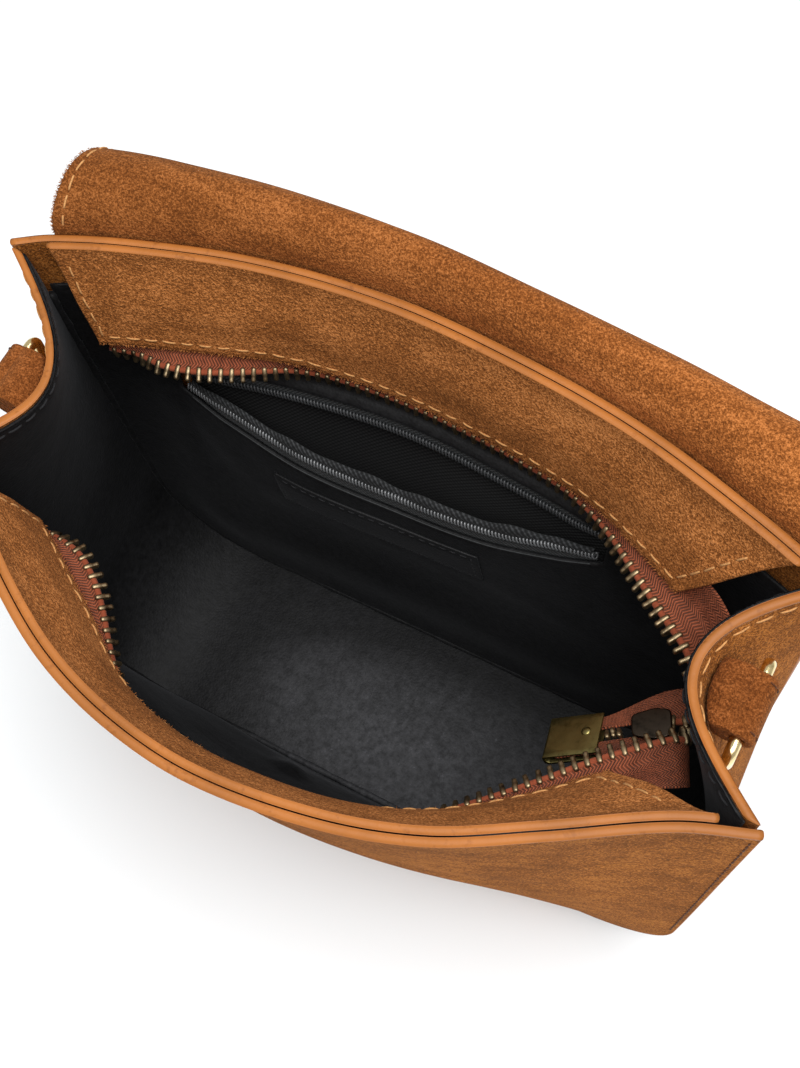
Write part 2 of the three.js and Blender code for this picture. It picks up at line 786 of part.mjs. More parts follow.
// How far the back lining stands off its panel at a height: close below the
// pocket, then out to the slot's sagging lower lip
function backLiningOff(across, height) {
  const lip = lipHeight("lower", across);
  const lipOff = POCKET_SAG * readTable(POCKET_LIPS, "lowerOff", across) * pocketFade(across);
  const low = POCKET_LOW_HEIGHT;
  const rise = smooth((height - POCKET_RISE) / (low - 1.5 * POCKET_RISE));
  const base = LINING_OFF + POCKET_ROOM * pocketFade(across) * rise;
  if (height <= lip + 0.01) {
    return base + Math.max(0, lipOff - base) * smooth((height - low) / (lip - low));
  }
  const above = height - lipHeight("upper", across);
  const upper = POCKET_ROOM * pocketFade(across);
  return Math.max(LINING_OFF, upper * (1 - smooth((above - POCKET_HOLD) / POCKET_EASE)));
}

// Beyond the pocket's ends the back lining lies back against the panel
function pocketFade(across) {
  const first = POCKET_LIPS[0].share;
  const last = POCKET_LIPS[POCKET_LIPS.length - 1].share;
  const beyond = Math.max(first - across, across - last, 0);
  return 1 - smooth(beyond / 0.2);
}

// The back lining is one sheet with the pocket's slot through it
function liningBack() {
  const first = POCKET_LIPS[0].share;
  const last = POCKET_LIPS[POCKET_LIPS.length - 1].share;
  const shares = [-1, -0.93, -0.84];
  for (let i = 0; i <= POCKET_COLUMNS; i += 1) shares.push(mix(first, last, i / POCKET_COLUMNS));
  shares.push(0.62, 0.74, 0.87, 1);
  const top = BAG_HEIGHT - LINING_DROP;
  const lower = (across) => lipHeight("lower", across);
  const upper = (across) => lipHeight("upper", across);
  const arc = [0, 0.16, 0.42, 0.72].map((k) => k * POCKET_LOW_HEIGHT);
  const rows = [
    ...arc.map((height) => () => height),
    () => POCKET_LOW_HEIGHT,
    (across) => mix(POCKET_LOW_HEIGHT, lower(across), 0.33),
    (across) => mix(POCKET_LOW_HEIGHT, lower(across), 0.7),
    lower,
    upper,
    (across) => upper(across) + POCKET_HOLD,
    (across) => upper(across) + POCKET_HOLD + POCKET_EASE,
    () => top,
  ];
  const slotRow = 7;
  return sheet({
    columns: shares.length - 1,
    rows: rows.length - 1,
    at: (i, j) => {
      const height = rows[j](shares[i]);
      const off = backLiningOff(shares[i], height);
      return liningAt(BACK, shares[i], height / BAG_HEIGHT, off);
    },
    inner: 0,
    outer: LINING,
    skip: (i, j) => j === slotRow && shares[i] >= first && shares[i + 1] <= last + 1e-6,
  });
}

// The pocket's twill: down the panel behind the slot, round its bottom and up
// behind the lower lip. Off and height are set row by row.
function pocketBag() {
  const first = POCKET_LIPS[0].share + 0.01;
  const last = POCKET_LIPS[POCKET_LIPS.length - 1].share - 0.01;
  const behind = GAP + 0.05;
  const lower = (across) => lipHeight("lower", across);
  const upper = (across) => lipHeight("upper", across);
  const front = (across, height) =>
    backLiningOff(across, height) - 3 * GAP - POCKET_TAPE;
  const low = POCKET_LOW_HEIGHT;
  const bottom = (across) => front(across, low + 1.2 * POCKET_TURN);
  const rows = [
    { height: (a) => upper(a) + POCKET_HOLD * 0.8, off: () => behind },
    { height: (a) => mix(low, upper(a), 0.75), off: () => behind },
    { height: (a) => mix(low, upper(a), 0.5), off: () => behind },
    { height: (a) => mix(low, upper(a), 0.25), off: () => behind },
    { height: () => low + POCKET_TURN, off: () => behind },
    { height: () => low + POCKET_TURN / 3, off: (a) => mix(behind, bottom(a), 0.5) },
    { height: () => low + POCKET_TURN, off: bottom },
    { height: (a) => mix(low, lower(a), 0.33), off: (a) => front(a, mix(low, lower(a), 0.33)) },
    { height: (a) => mix(low, lower(a), 0.7), off: (a) => front(a, mix(low, lower(a), 0.7)) },
    { height: (a) => lower(a), off: (a) => front(a, lower(a)) },
  ];
  const surface = (across, row) => {
    const j = Math.min(Math.floor(row), rows.length - 2);
    const k = row - j;
    const height = mix(rows[j].height(across), rows[j + 1].height(across), k);
    const off = mix(rows[j].off(across), rows[j + 1].off(across), k);
    const { point, normal } = liningAt(BACK, across, height / BAG_HEIGHT, 0);
    return point.addScaledVector(normal, off);
  };
  const count = rows.length - 1;
  const low2 = { a: first, b: 0 };
  const high2 = { a: last, b: count };
  const turning = (a, b) => {
    const before = normalOf(surface, a, Math.max(b - 0.01, 0), low2, high2);
    const after = normalOf(surface, a, Math.min(b + 0.01, count), low2, high2);
    return before.add(after).normalize();
  };
  return sheet({
    columns: POCKET_COLUMNS,
    rows: count,
    at: (i, j) => {
      const across = mix(first, last, i / POCKET_COLUMNS);
      return { point: surface(across, j), normal: turning(across, j) };
    },
    inner: 0,
    outer: -POCKET_SHEET,
  });
}

// One pocket tape with its coil along the free edge. Hand is 1 on the lower
// lip, whose tape stands up, and -1 on the upper lip, whose tape hangs down.
function pocketZip(hand) {
  const first = POCKET_LIPS[0].share + 0.02;
  const last = POCKET_LIPS[POCKET_LIPS.length - 1].share - 0.02;
  const column = hand > 0 ? "lower" : "upper";
  const flat = POCKET_TAPE / 2;
  const root = POCKET_TAPE_HEIGHT - 2 * COIL_RADIUS;
  const outline = [
    [-POCKET_TUCK, -flat], [root + 2 * COIL_RADIUS, -flat],
    [root + 2 * COIL_RADIUS, flat + COIL_RADIUS * 0.6],
    [root + COIL_RADIUS * 1.5, flat + COIL_RADIUS * 1.2],
    [root + COIL_RADIUS * 0.5, flat + COIL_RADIUS * 1.2],
    [root, flat + COIL_RADIUS * 0.5], [root, flat], [-POCKET_TUCK, flat],
  ];
  const rings = [];
  for (let i = 0; i <= POCKET_COLUMNS; i += 1) {
    const across = mix(first, last, i / POCKET_COLUMNS);
    const lip = lipHeight(column, across);
    const ease = smooth(Math.min(across - first, last - across) / 0.1);
    const off = backLiningOff(across, lip) - 2 * GAP - POCKET_TAPE / 2;
    rings.push(outline.map(([s, n]) => {
      const stretch = s > 0 ? mix(0.55, 1, ease) : 1;
      const height = lip + hand * s * stretch;
      const { point, normal } = liningAt(BACK, across, height / BAG_HEIGHT, 0);
      return point.addScaledVector(normal, off + n);
    }));
  }
  return loft(rings);
}

// The bare leather patch on the back lining, under the pocket's lower lip
function innerPatch() {
  const columns = 6;
  const rows = 2;
  return sheet({
    columns,
    rows,
    at: (i, j) => {
      const across = mix(PATCH_LEFT, PATCH_RIGHT, i / columns);
      const height = BAG_HEIGHT - PATCH_DROP - PATCH_HEIGHT * (1 - j / rows);
      const off = backLiningOff(across, height) + LINING + GAP;
      return liningAt(BACK, across, height / BAG_HEIGHT, off);
    },
    inner: 0,
    outer: PATCH_THICKNESS,
  });
}

// The magnet: a disc flat against the front panel's inner face
function magnetDisc() {
  const up = MAGNET_HEIGHT / BAG_HEIGHT;
  const normal = panelInward(FRONT, MAGNET_SHARE, up);
  const disc = new THREE.CylinderGeometry(MAGNET_RADIUS, MAGNET_RADIUS, MAGNET_THICKNESS, 20);
  const turn = new THREE.Quaternion().setFromUnitVectors(new THREE.Vector3(0, 1, 0), normal);
  const middle = panelPoint(FRONT, MAGNET_SHARE, up)
    .addScaledVector(normal, MAGNET_SEAT + MAGNET_THICKNESS / 2);
  disc.applyQuaternion(turn);
  disc.translate(middle.x, middle.y, middle.z);
  return plain(disc);
}

// A library geometry with only its shape kept, its shared corners joined
function plain(geometry) {
  geometry.deleteAttribute("normal");
  geometry.deleteAttribute("uv");
  return mergeVertices(geometry, 1e-5);
}

// The flap: up from its seam on the back panel, over and down behind
function flapPoint(across, run) {
  const left = FLAP_LENGTH * (1 - run);
  const below = Math.max(0, FLAP_CORNER - left);
  const room = Math.sqrt(Math.max(0, FLAP_CORNER * FLAP_CORNER - below * below));
  const x = across * (FLAP_HALF_WIDTH - FLAP_CORNER + room);
  const share = x / (BACK_TOP_WIDTH / 2);
  const arch = FLAP_ARCH * readTable(FLAP_RUN, "arch", run);
  const rise = arch - FLAP_LENGTH * readTable(FLAP_RUN, "fall", run);
  const depth = FLAP_ARCH_DEPTH * readTable(FLAP_REACH, "reach", x / FLAP_HALF_WIDTH);
  const seated = run < FLAP_SEATED ? Math.max(0, -rise) : 0;
  const point = hang(BACK, share, seated, -(SUEDE + 2 * GAP));
  const rim = panelPoint(BACK, share, 1);
  point.y += depth * readTable(FLAP_RUN, "reach", run);
  point.x = x;
  point.z = rim.z + rise;
  return point;
}

function flap() {
  const columns = 20;
  const runs = [
    0, 0.05, 0.085, 0.115, 0.145, 0.175, 0.205, 0.24, 0.3, 0.42, 0.56, 0.7,
    0.785, 0.84, 0.89, 0.94, 0.975, 0.995,
  ];
  const limits = { low: { a: -1, b: 0 }, high: { a: 1, b: 0.995 } };
  return sheet({
    columns,
    rows: runs.length - 1,
    at: (i, j) => {
      const across = mix(-1, 1, i / columns);
      const normal = normalOf(flapPoint, across, runs[j], limits.low, limits.high);
      return { point: flapPoint(across, runs[j]), normal };
    },
    inner: 0,
    outer: -FLAP_THICKNESS,
  });
}

// The gusset's outer face at a height and a place from front to back
function gussetOutside(hand, y, height) {
  const stop = { hand, height, angle: 0, base: 0 };
  const half = mix(BASE_DEPTH, TOP_DEPTH, height / BAG_HEIGHT) / 2;
  return gussetPoint(stop, y / half, 0, 0).x;
}

// Where a ring's straight bar lies: far enough out for the bow that hangs from
// it to clear the gusset
function ringBar(hand) {
  const height = BAG_HEIGHT - TAB_DROP;
  const walls = ringPath().map(([y, z]) => hand * gussetOutside(hand, TAB_MIDDLE + y, height + z));
  const x = hand * (Math.max(...walls) + RING_WIRE + RING_OFF);
  return new THREE.Vector3(x, TAB_MIDDLE, height);
}

// The wire's middle line, from the straight bar's middle round the bow
function ringPath() {
  const half = RING_WIDTH / 2;
  const path = [];
  for (let i = 0; i < 3; i += 1) path.push([mix(-0.6, 0.6, i / 2) * half, 0]);
  for (let i = 0; i <= 2; i += 1) {
    const turn = (i / 2) * (Math.PI / 2);
    path.push([half - RING_CORNER * (1 - Math.sin(turn)), RING_CORNER * (Math.cos(turn) - 1)]);
  }
  for (let i = 1; i <= 9; i += 1) {
    const turn = (i / 10) * Math.PI;
    const deep = RING_DROP - RING_CORNER;
    path.push([half * Math.cos(turn), -RING_CORNER - deep * Math.sin(turn)]);
  }
  for (let i = 0; i <= 2; i += 1) {
    const turn = (i / 2) * (Math.PI / 2);
    path.push([-half + RING_CORNER * (1 - Math.cos(turn)), RING_CORNER * (Math.sin(turn) - 1)]);
  }
  return path;
}

// A closed geometry as a solid that can be cut
function toSolid(geometry) {
  const merged = plain(geometry.clone());
  return new wasm.Manifold(new wasm.Mesh({
    numProp: 3,
    vertProperties: new Float32Array(merged.attributes.position.array),
    triVerts: new Uint32Array(merged.index.array),
  }));
}

function fromSolid(solid) {
  const mesh = solid.getMesh();
  const geometry = new THREE.BufferGeometry();
  geometry.setAttribute("position", new THREE.BufferAttribute(mesh.vertProperties, 3));
  geometry.setIndex(new THREE.BufferAttribute(mesh.triVerts, 1));
  geometry.computeVertexNormals();
  return geometry;
}

// A tab: a folded suede strip from the gusset round the ring's straight bar
function tab(hand) {
  const bore = RING_WIRE + RING_CLEARANCE;
  const radius = bore + TAB_THICKNESS;
  const bar = ringBar(hand);
  const steps = 6;
  const rings = [];
  for (let i = 0; i <= steps; i += 1) {
    const y = TAB_MIDDLE + mix(-0.5, 0.5, i / steps) * TAB_WIDTH;
    const wall = (z) => gussetOutside(hand, y, z) + hand * GAP;
    const top = bar.z + TAB_THICKNESS + TAB_FLARE;
    const low = bar.z - TAB_THICKNESS - TAB_FLARE;
    const ring = [
      new THREE.Vector3(wall(low), y, low),
      new THREE.Vector3(wall(bar.z), y, bar.z),
      new THREE.Vector3(wall(top), y, top),
    ];
    for (let k = 0; k <= 8; k += 1) {
      const turn = mix(100, -100, k / 8) * (Math.PI / 180);
      const x = bar.x + hand * radius * Math.cos(turn);
      ring.push(new THREE.Vector3(x, y, bar.z + radius * Math.sin(turn)));
    }
    rings.push(ring);
  }
  const hole = new THREE.CylinderGeometry(bore, bore, TAB_WIDTH * 2, 16);
  hole.translate(bar.x, bar.y, bar.z);
  return fromSolid(toSolid(loft(rings)).subtract(toSolid(hole)));
}

// A D-ring: a straight bar in the tab and a bow hanging below it
function dRing(hand) {
  const bar = ringBar(hand);
  const path = ringPath();
  const sides = 8;
  const rings = path.map(([y, z], i) => {
    const before = path[(i + path.length - 1) % path.length];
    const after = path[(i + 1) % path.length];
    const length = Math.hypot(after[0] - before[0], after[1] - before[1]);
    const out = [(after[1] - before[1]) / length, -(after[0] - before[0]) / length];
    const ring = [];
    for (let k = 0; k < sides; k += 1) {
      const turn = (k / sides) * 2 * Math.PI;
      const a = RING_WIRE * Math.cos(turn);
      ring.push(new THREE.Vector3(
        bar.x + RING_WIRE * Math.sin(turn),
        bar.y + y + out[0] * a,
        bar.z + z + out[1] * a,
      ));
    }
    return ring;
  });
  return loft(rings, true);
}

// Local axes on the tapes' tail: along towards the turn, across to the back
function tailFrame(from, to, row) {
  const along = to.clone().sub(from).normalize();
  const across = turnPoints(BACK_TURN[row]).edge.sub(turnPoints(FRONT_TURN[row]).edge);
  const up = along.clone().cross(across).normalize();
  return { along, across: up.clone().cross(along).normalize(), up };
}

function middleOf(row) {
  const front = turnPoints(FRONT_TURN[row]).tooth;
  return front.lerp(turnPoints(BACK_TURN[row]).tooth, 0.5);
}

// A geometry built along X, Y and Z, set into a tail frame at a point
function placed(geometry, frame, point) {
  const matrix = new THREE.Matrix4().makeBasis(frame.along, frame.across, frame.up);
  matrix.setPosition(point);
  geometry.applyMatrix4(matrix);
  return geometry;
}

function extruded(points, depth) {
  const shape = new THREE.Shape(points.map(([x, y]) => new THREE.Vector2(x, y)));
  return new THREE.ExtrudeGeometry(shape, { depth, bevelEnabled: false, steps: 1 });
}

// The slider: two plates and the post that parts the rows
function zipSlider() {
  const half = SLIDER_LENGTH / 2;
  const side = SLIDER_WIDTH / 2;
  const outline = [
    [-half, -side * 0.6], [-half * 0.3, -side * 0.8], [half * 0.5, -side], [half, -side * 0.8],
    [half, side * 0.8], [half * 0.5, side], [-half * 0.3, side * 0.8], [-half, side * 0.6],
  ];
  const throat = SLIDER_THROAT / 2;
  const top = extruded(outline, SLIDER_PLATE);
  top.translate(0, 0, throat);
  const low = extruded(outline, SLIDER_PLATE);
  low.translate(0, 0, -throat - SLIDER_PLATE);
  const wedge = SLIDER_POST / 2;
  const bite = SLIDER_PLATE * 0.2;
  const post = extruded(
    [[half * 0.2, 0], [half * 0.6, -wedge], [half, 0], [half * 0.6, wedge]],
    2 * (throat + bite),
  );
  post.translate(0, 0, -throat - bite);
  const joined = toSolid(top).add(toSolid(low)).add(toSolid(post));
  const frame = tailFrame(middleOf(4), middleOf(2), 3);
  return placed(fromSolid(joined), frame, sliderPlace());
}

function sliderPlace() {
  return middleOf(3);
}

// The end clamp: a plate folded over the tapes' tail, with its rivet's head
function zipEndClamp() {
  const gap = CLAMP_GAP / 2;
  const out = gap + CLAMP_PLATE;
  const profile = extruded([
    [0, gap], [0, out], [-CLAMP_LENGTH, out], [-CLAMP_LENGTH, -out],
    [0, -out], [0, -gap], [-CLAMP_LENGTH + CLAMP_PLATE, -gap], [-CLAMP_LENGTH + CLAMP_PLATE, gap],
  ], CLAMP_WIDTH);
  profile.rotateX(Math.PI / 2);
  profile.translate(0, CLAMP_WIDTH / 2, 0);
  const head = new THREE.CylinderGeometry(RIVET_RADIUS * 0.5, RIVET_RADIUS, RIVET_HEIGHT, 12);
  head.rotateX(Math.PI / 2);
  head.translate(-RIVET_INSET, 0, out + 0.4 * RIVET_HEIGHT);
  const joined = toSolid(profile).add(toSolid(head));
  const frame = tailFrame(middleOf(5), middleOf(4), 4);
  return placed(fromSolid(joined), frame, middleOf(4));
}

// The closed teeth between the two tapes, from the clamp to the slider
function closedTeeth() {
  const start = middleOf(4);
  const slider = sliderPlace();
  const along = slider.clone().sub(start).normalize();
  const length = slider.distanceTo(start) - SLIDER_LENGTH / 2 - 2 * GAP - CLOSED_CLEAR;
  const box = new THREE.BoxGeometry(length, CLOSED_TEETH_WIDTH, TEETH_THICKNESS);
  const frame = tailFrame(start, slider, 4);
  const middle = start.clone().addScaledVector(along, CLOSED_CLEAR + length / 2);
  return placed(plain(box), frame, middle);
}

const wasm = await Module();
wasm.setup();

const solids = [];
function add(name, geometry, color, roughness, metalness) {
  const material = new THREE.MeshStandardMaterial({ color, roughness, metalness });
  const mesh = new THREE.Mesh(geometry, material);
  mesh.name = name;
  solids.push(mesh);
}

add("front_panel", panel(FRONT), "#a4672f", 0.95, 0);
add("back_panel", panel(BACK), "#a4672f", 0.95, 0);
add("gusset", gusset(), "#a4672f", 0.95, 0);
add("front_facing", facing(FRONT), "#a86a31", 0.95, 0);
add("back_facing", facing(BACK), "#a86a31", 0.95, 0);
add("lining_front", liningFront(), "#19191b", 0.7, 0);
add("lining_gusset", liningGusset(), "#19191b", 0.7, 0);
add("zip_tape_front", zipTape(FRONT), "#a0523a", 0.9, 0);
add("zip_tape_back", zipTape(BACK), "#a0523a", 0.9, 0);
add("zip_teeth_front", zipTeeth(FRONT), "#96815a", 0.4, 1);
add("zip_teeth_back", zipTeeth(BACK), "#96815a", 0.4, 1);
add("zip_teeth_closed", closedTeeth(), "#96815a", 0.4, 1);
add("zip_slider", zipSlider(), "#4a3f30", 0.45, 1);
add("zip_end_clamp", zipEndClamp(), "#6b6029", 0.4, 1);
add("lining_back", liningBack(), "#19191b", 0.7, 0);
add("pocket_bag", pocketBag(), "#151517", 0.9, 0);
add("pocket_zip_upper", pocketZip(-1), "#222224", 0.6, 0);
add("pocket_zip_lower", pocketZip(1), "#222224", 0.6, 0);
add("inner_patch", innerPatch(), "#1c1c1d", 0.55, 0);
add("magnet_disc", magnetDisc(), "#5a5c60", 0.4, 1);
add("flap", flap(), "#b07638", 0.95, 0);
add("tab_left", tab(-1), "#a4672f", 0.95, 0);
add("tab_right", tab(1), "#a4672f", 0.95, 0);
add("d_ring_left", dRing(-1), "#c9a55c", 0.25, 1);
add("d_ring_right", dRing(1), "#c9a55c", 0.25, 1);

const bag = new THREE.Group();
for (const solid of solids) bag.add(solid);

export default bag;
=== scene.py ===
# The looks of a suede crossbody bag that stands open with its flap thrown back.
# Shapes are worked out in millimetres in the part's own frame and turned to
# metres when a mesh is made.
import math
from types import SimpleNamespace

import bpy
import numpy as np
from mathutils import Matrix


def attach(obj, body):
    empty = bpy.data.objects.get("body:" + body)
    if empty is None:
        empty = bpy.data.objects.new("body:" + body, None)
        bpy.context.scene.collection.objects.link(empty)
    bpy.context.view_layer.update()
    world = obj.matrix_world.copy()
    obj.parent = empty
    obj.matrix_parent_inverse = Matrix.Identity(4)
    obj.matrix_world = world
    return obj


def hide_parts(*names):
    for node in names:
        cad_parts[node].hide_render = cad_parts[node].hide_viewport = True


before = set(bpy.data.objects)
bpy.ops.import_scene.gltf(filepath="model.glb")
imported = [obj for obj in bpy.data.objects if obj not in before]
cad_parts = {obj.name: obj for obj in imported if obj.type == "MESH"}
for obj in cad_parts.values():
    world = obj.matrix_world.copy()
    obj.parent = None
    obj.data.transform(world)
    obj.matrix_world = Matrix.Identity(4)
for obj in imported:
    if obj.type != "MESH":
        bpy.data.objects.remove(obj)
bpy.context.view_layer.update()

# Sizes, as in the part's source, in millimetres. FLAP_REACH and the clearance of
# the gusset's lining differ from it, as their own lines say
BAG_HEIGHT = 158.0
BASE_WIDTH = 200.0
BASE_DEPTH = 56.0
TOP_DEPTH = 51.0
BACK_TOP_WIDTH = 205.0
FRONT_TOP_WIDTH = 193.0
FRONT_TOP_SHIFT = 10.5
CORNER_RADIUS = 38.0
FRONT_BULGE = 38.8
BACK_BULGE = 24.2
FRONT_BELLY = 10.0
BACK_BELLY = 4.0
LEFT_FOLD = 18.0
RIGHT_FOLD = 20.8
FOLD_SAG = 2.6
FOLD_START = 0.42
SUEDE = 2.0
FACING = 1.8
LINING = 0.9
TAPE = 0.7
GAP = 0.3
FACING_WIDTH = 31.0
STAND_BASE = 3.0
STAND_OFF = 20.0
TAPE_BEHIND = 7.5
TAPE_TUCK = 0.8
TAPE_SHOWS = 4.6
FRONT_LOOSE = 7.0
LINING_OFF = 0.45
POCKET_DROP = 43.0
POCKET_LOW_HEIGHT = 34.0
POCKET_SHEET = 0.6
POCKET_TAPE = 0.5
POCKET_ROOM = 2.9
POCKET_HOLD = 1.5
POCKET_EASE = 2.0
POCKET_SAG = 14.5
POCKET_RISE = 8.0
POCKET_TURN = 2.5
PATCH_LEFT = -0.46
PATCH_RIGHT = 0.19
PATCH_DROP = 72.0
PATCH_HEIGHT = 18.0
CLAMP_LENGTH = 13.5
CLAMP_WIDTH = 11.2
MAGNET_RADIUS = 8.0
MAGNET_SHARE = -0.16
MAGNET_HEIGHT = 32.0
FLAP_THICKNESS = 2.2
FLAP_LENGTH = 176.0
FLAP_HALF_WIDTH = 95.0
FLAP_CORNER = 40.0
FLAP_ARCH = 9.5
FLAP_ARCH_DEPTH = 29.0
FLAP_SEATED = 0.07
TAB_THICKNESS = 1.8
TAB_DROP = 11.0
TAB_MIDDLE = -1.0
RING_WIRE = 1.4
RING_WIDTH = 22.0
RING_DROP = 18.0

# Not as in the source: the linings reach nearer to the rims and the folded
# seams than the solids do, so that no suede shows where the photo has lining
LINING_DROP = 16.0
FOLD_ROOM = 1.0

# Hand stitches, tight edge stitches, and how far in from an edge they run
LONG_STITCH = {"pitch": 4.7, "length": 3.4}
TIGHT_STITCH = {"pitch": 3.0, "length": 2.2, "radius": 0.2}
FACING_INSET = 2.6
PANEL_INSET = 1.7
PATCH_INSET = 1.7
PATCH_THICKNESS = 0.8
MM = 0.001


def table(*rows):
    """A smooth curve through rows of (share, value, ...), read column by column."""
    shares = np.array([row[0] for row in rows], float)
    values = np.array([row[1:] for row in rows], float)
    last = len(rows) - 1
    ahead = np.minimum(np.arange(last + 1) + 1, last)
    behind = np.maximum(np.arange(last + 1) - 1, 0)
    slopes = (values[ahead] - values[behind]) / (shares[ahead] - shares[behind])[:, None]

    def read(share, column=0):
        s = np.clip(np.asarray(share, float), shares[0], shares[-1])
        i = np.clip(np.searchsorted(shares, s, side="left") - 1, 0, last - 1)
        width = shares[i + 1] - shares[i]
        k = (s - shares[i]) / width
        value = values[:, column]
        bend = slopes[i, column] * width * (k - 2 * k * k + k ** 3)
        bend = bend + slopes[i + 1, column] * width * (k ** 3 - k * k)
        return value[i] + (value[i + 1] - value[i]) * (3 * k * k - 2 * k ** 3) + bend

    return read


FRONT_RIM = table((-1, 0), (-0.86, 0.232), (-0.68, 0.554), (-0.5, 0.799), (-0.3, 0.948), (-0.08, 1),
                  (0.2, 0.915), (0.42, 0.747), (0.62, 0.477), (0.84, 0.155), (1, 0))
BACK_RIM = table((-1, 0), (-0.92, 0.207), (-0.74, 0.504), (-0.45, 0.847), (-0.12, 1), (0.2, 0.917),
                 (0.5, 0.711), (0.8, 0.322), (1, 0))
FRONT_STAND = table((-1, 0.4), (-0.66, 0.4), (-0.39, 0.15), (0, 0.15), (0.2, 0.18), (0.52, 0.425),
                    (0.76, 0.725), (0.9, 0.95), (1, 1))
BACK_STAND = table((-1, 0.425), (-0.6, 0.3), (-0.35, 0.15), (0.15, 0.15), (0.45, 0.225),
                   (0.62, 0.4), (0.78, 0.625), (0.9, 0.9), (1, 1))
FRONT_REACH = table((-0.86, 0.1), (-0.77, 0.3), (-0.67, 0.27), (-0.55, 0.13), (-0.4, 0), (0.2, 0),
                    (0.39, 0.09), (0.5, 0.17), (0.67, 0.26), (0.79, 0.28))
BACK_REACH = table((-0.86, 0), (-0.79, 0.06), (-0.7, 0.25), (-0.6, 0.28), (-0.49, 0.18), (-0.37, 0.03),
                   (-0.25, 0), (0.35, 0.02), (0.5, 0.12), (0.65, 0.28), (0.76, 0.36), (0.83, 0.35))
# Toothed edge and outer edge of each tape past the facings: X, Y, Z shares
FRONT_TURN = ((1.0006, -0.345, 0.8196, 1.0661, -0.725, 0.8418),
              (1.0364, -0.259, 0.8006, 1.084, -0.608, 0.7975),
              (1.0149, -0.22, 0.7772, 1.0304, -0.569, 0.7627),
              (0.941, -0.286, 0.7658, 0.9339, -0.604, 0.762),
              (0.8338, -0.51, 0.7582, 0.8422, -0.635, 0.7658),
              (0.7326, -0.659, 0.7278, 0.7409, -0.784, 0.7354))
BACK_TURN = ((1.0066, 0.227, 0.807, 1.078, 0.608, 0.8291),
             (1.0364, 0.094, 0.7905, 1.0817, 0.486, 0.7848),
             (1.0149, -0.031, 0.7734, 1.0304, 0.373, 0.7563),
             (0.941, -0.141, 0.7633, 0.9292, 0.176, 0.7468),
             (0.8243, -0.384, 0.7506, 0.816, -0.259, 0.743),
             (0.7231, -0.533, 0.7203, 0.7148, -0.408, 0.7127))
POCKET_LIPS = table((-0.74, 1.058, 1.256, 0.276), (-0.6, 1.046, 1.372, 0.621),
                    (-0.35, 1.023, 1.489, 0.966), (-0.05, 1, 1.512, 1), (0.2, 1.023, 1.489, 0.862),
                    (0.4, 1.046, 1.395, 0.586), (0.52, 1.07, 1.302, 0.345))
POCKET_FIRST = -0.74
POCKET_LAST = 0.52
FLAP_RUN = table((0, 0, 0, 0.0568), (0.05, 0.01, 0, 0.0085), (0.09, 0.1, 0.47, 0), (0.14, 0.38, 1, 0),
                 (0.18, 0.66, 1, 0), (0.22, 0.88, 0.47, 0), (0.28, 1, 0, 0.0341),
                 (0.45, 1.02, 0, 0.2045), (0.7, 0.95, 0, 0.4545), (1, 0.85, 0, 0.7557))
# At its left end the source has 1
FLAP_REACH = table((-1, 0.93), (-0.5, 0.638), (0, 0.517), (0.4, 0.534), (0.7, 0.672), (1, 0.897))

# Soft dents and creases of the panels: place across, place up, half length,
# half width, slant in degrees and depth into the bag
FRONT_DENTS = ((-0.1, 0.66, 0.55, 0.07, 4, 0.6), (0.45, 0.58, 0.4, 0.05, -6, 0.7),
               (0.55, 0.34, 0.45, 0.16, -12, 2.0), (-0.55, 0.35, 0.35, 0.1, 20, 0.8),
               (0.75, 0.14, 0.3, 0.1, -25, 1.2), (0.82, 0.75, 0.2, 0.05, -30, 0.4))
BACK_DENTS = ((-0.3, 0.55, 0.5, 0.1, 8, 0.6), (0.4, 0.4, 0.4, 0.12, -10, -0.7),
              (0.0, 0.2, 0.5, 0.08, 0, 0.5))

# The two sides. ends gives the facing's left and right ends at rim and lower edge
FRONT = SimpleNamespace(
    y=-1, top=FRONT_TOP_WIDTH, shift=FRONT_TOP_SHIFT, rim=FRONT_RIM, bulge=FRONT_BULGE,
    stand=FRONT_STAND, reach=FRONT_REACH, ends=(-0.92, -0.88, 0.92, 0.76), tape_end=0.79,
    turn=FRONT_TURN, dents=FRONT_DENTS)
BACK = SimpleNamespace(
    y=1, top=BACK_TOP_WIDTH, shift=0.0, rim=BACK_RIM, bulge=BACK_BULGE,
    stand=BACK_STAND, reach=BACK_REACH, ends=(-0.925, -0.87, 0.92, 0.74), tape_end=0.83,
    turn=BACK_TURN, dents=BACK_DENTS)
TAPE_START = -0.86


def smooth(value):
    k = np.clip(value, 0, 1)
    return k * k * (3 - 2 * k)


def mix(a, b, k):
    return a + (b - a) * k


def unit(v):
    return v / np.maximum(np.linalg.norm(v, axis=-1, keepdims=True), 1e-12)


def points3(x, y, z):
    return np.stack(np.broadcast_arrays(np.asarray(x, float), y, z), -1)


def dents(rows, across, up):
    """The summed depth of slanted oval dents."""
    total = 0.0
    for a, u, length, width, slant, depth in rows:
        c, s = math.cos(math.radians(slant)), math.sin(math.radians(slant))
        along = (across - a) * c + (up - u) * s
        beside = (up - u) * c - (across - a) * s
        total = total + depth * np.exp(-(along / length) ** 2 - (beside / width) ** 2)
    return total


def half_width(side, height, inset=0.0):
    width = mix(BASE_WIDTH, side.top, height / BAG_HEIGHT)
    radius = CORNER_RADIUS - inset
    below = np.maximum(0, CORNER_RADIUS - height)
    return width / 2 - CORNER_RADIUS + np.sqrt(np.maximum(0, radius * radius - below * below))


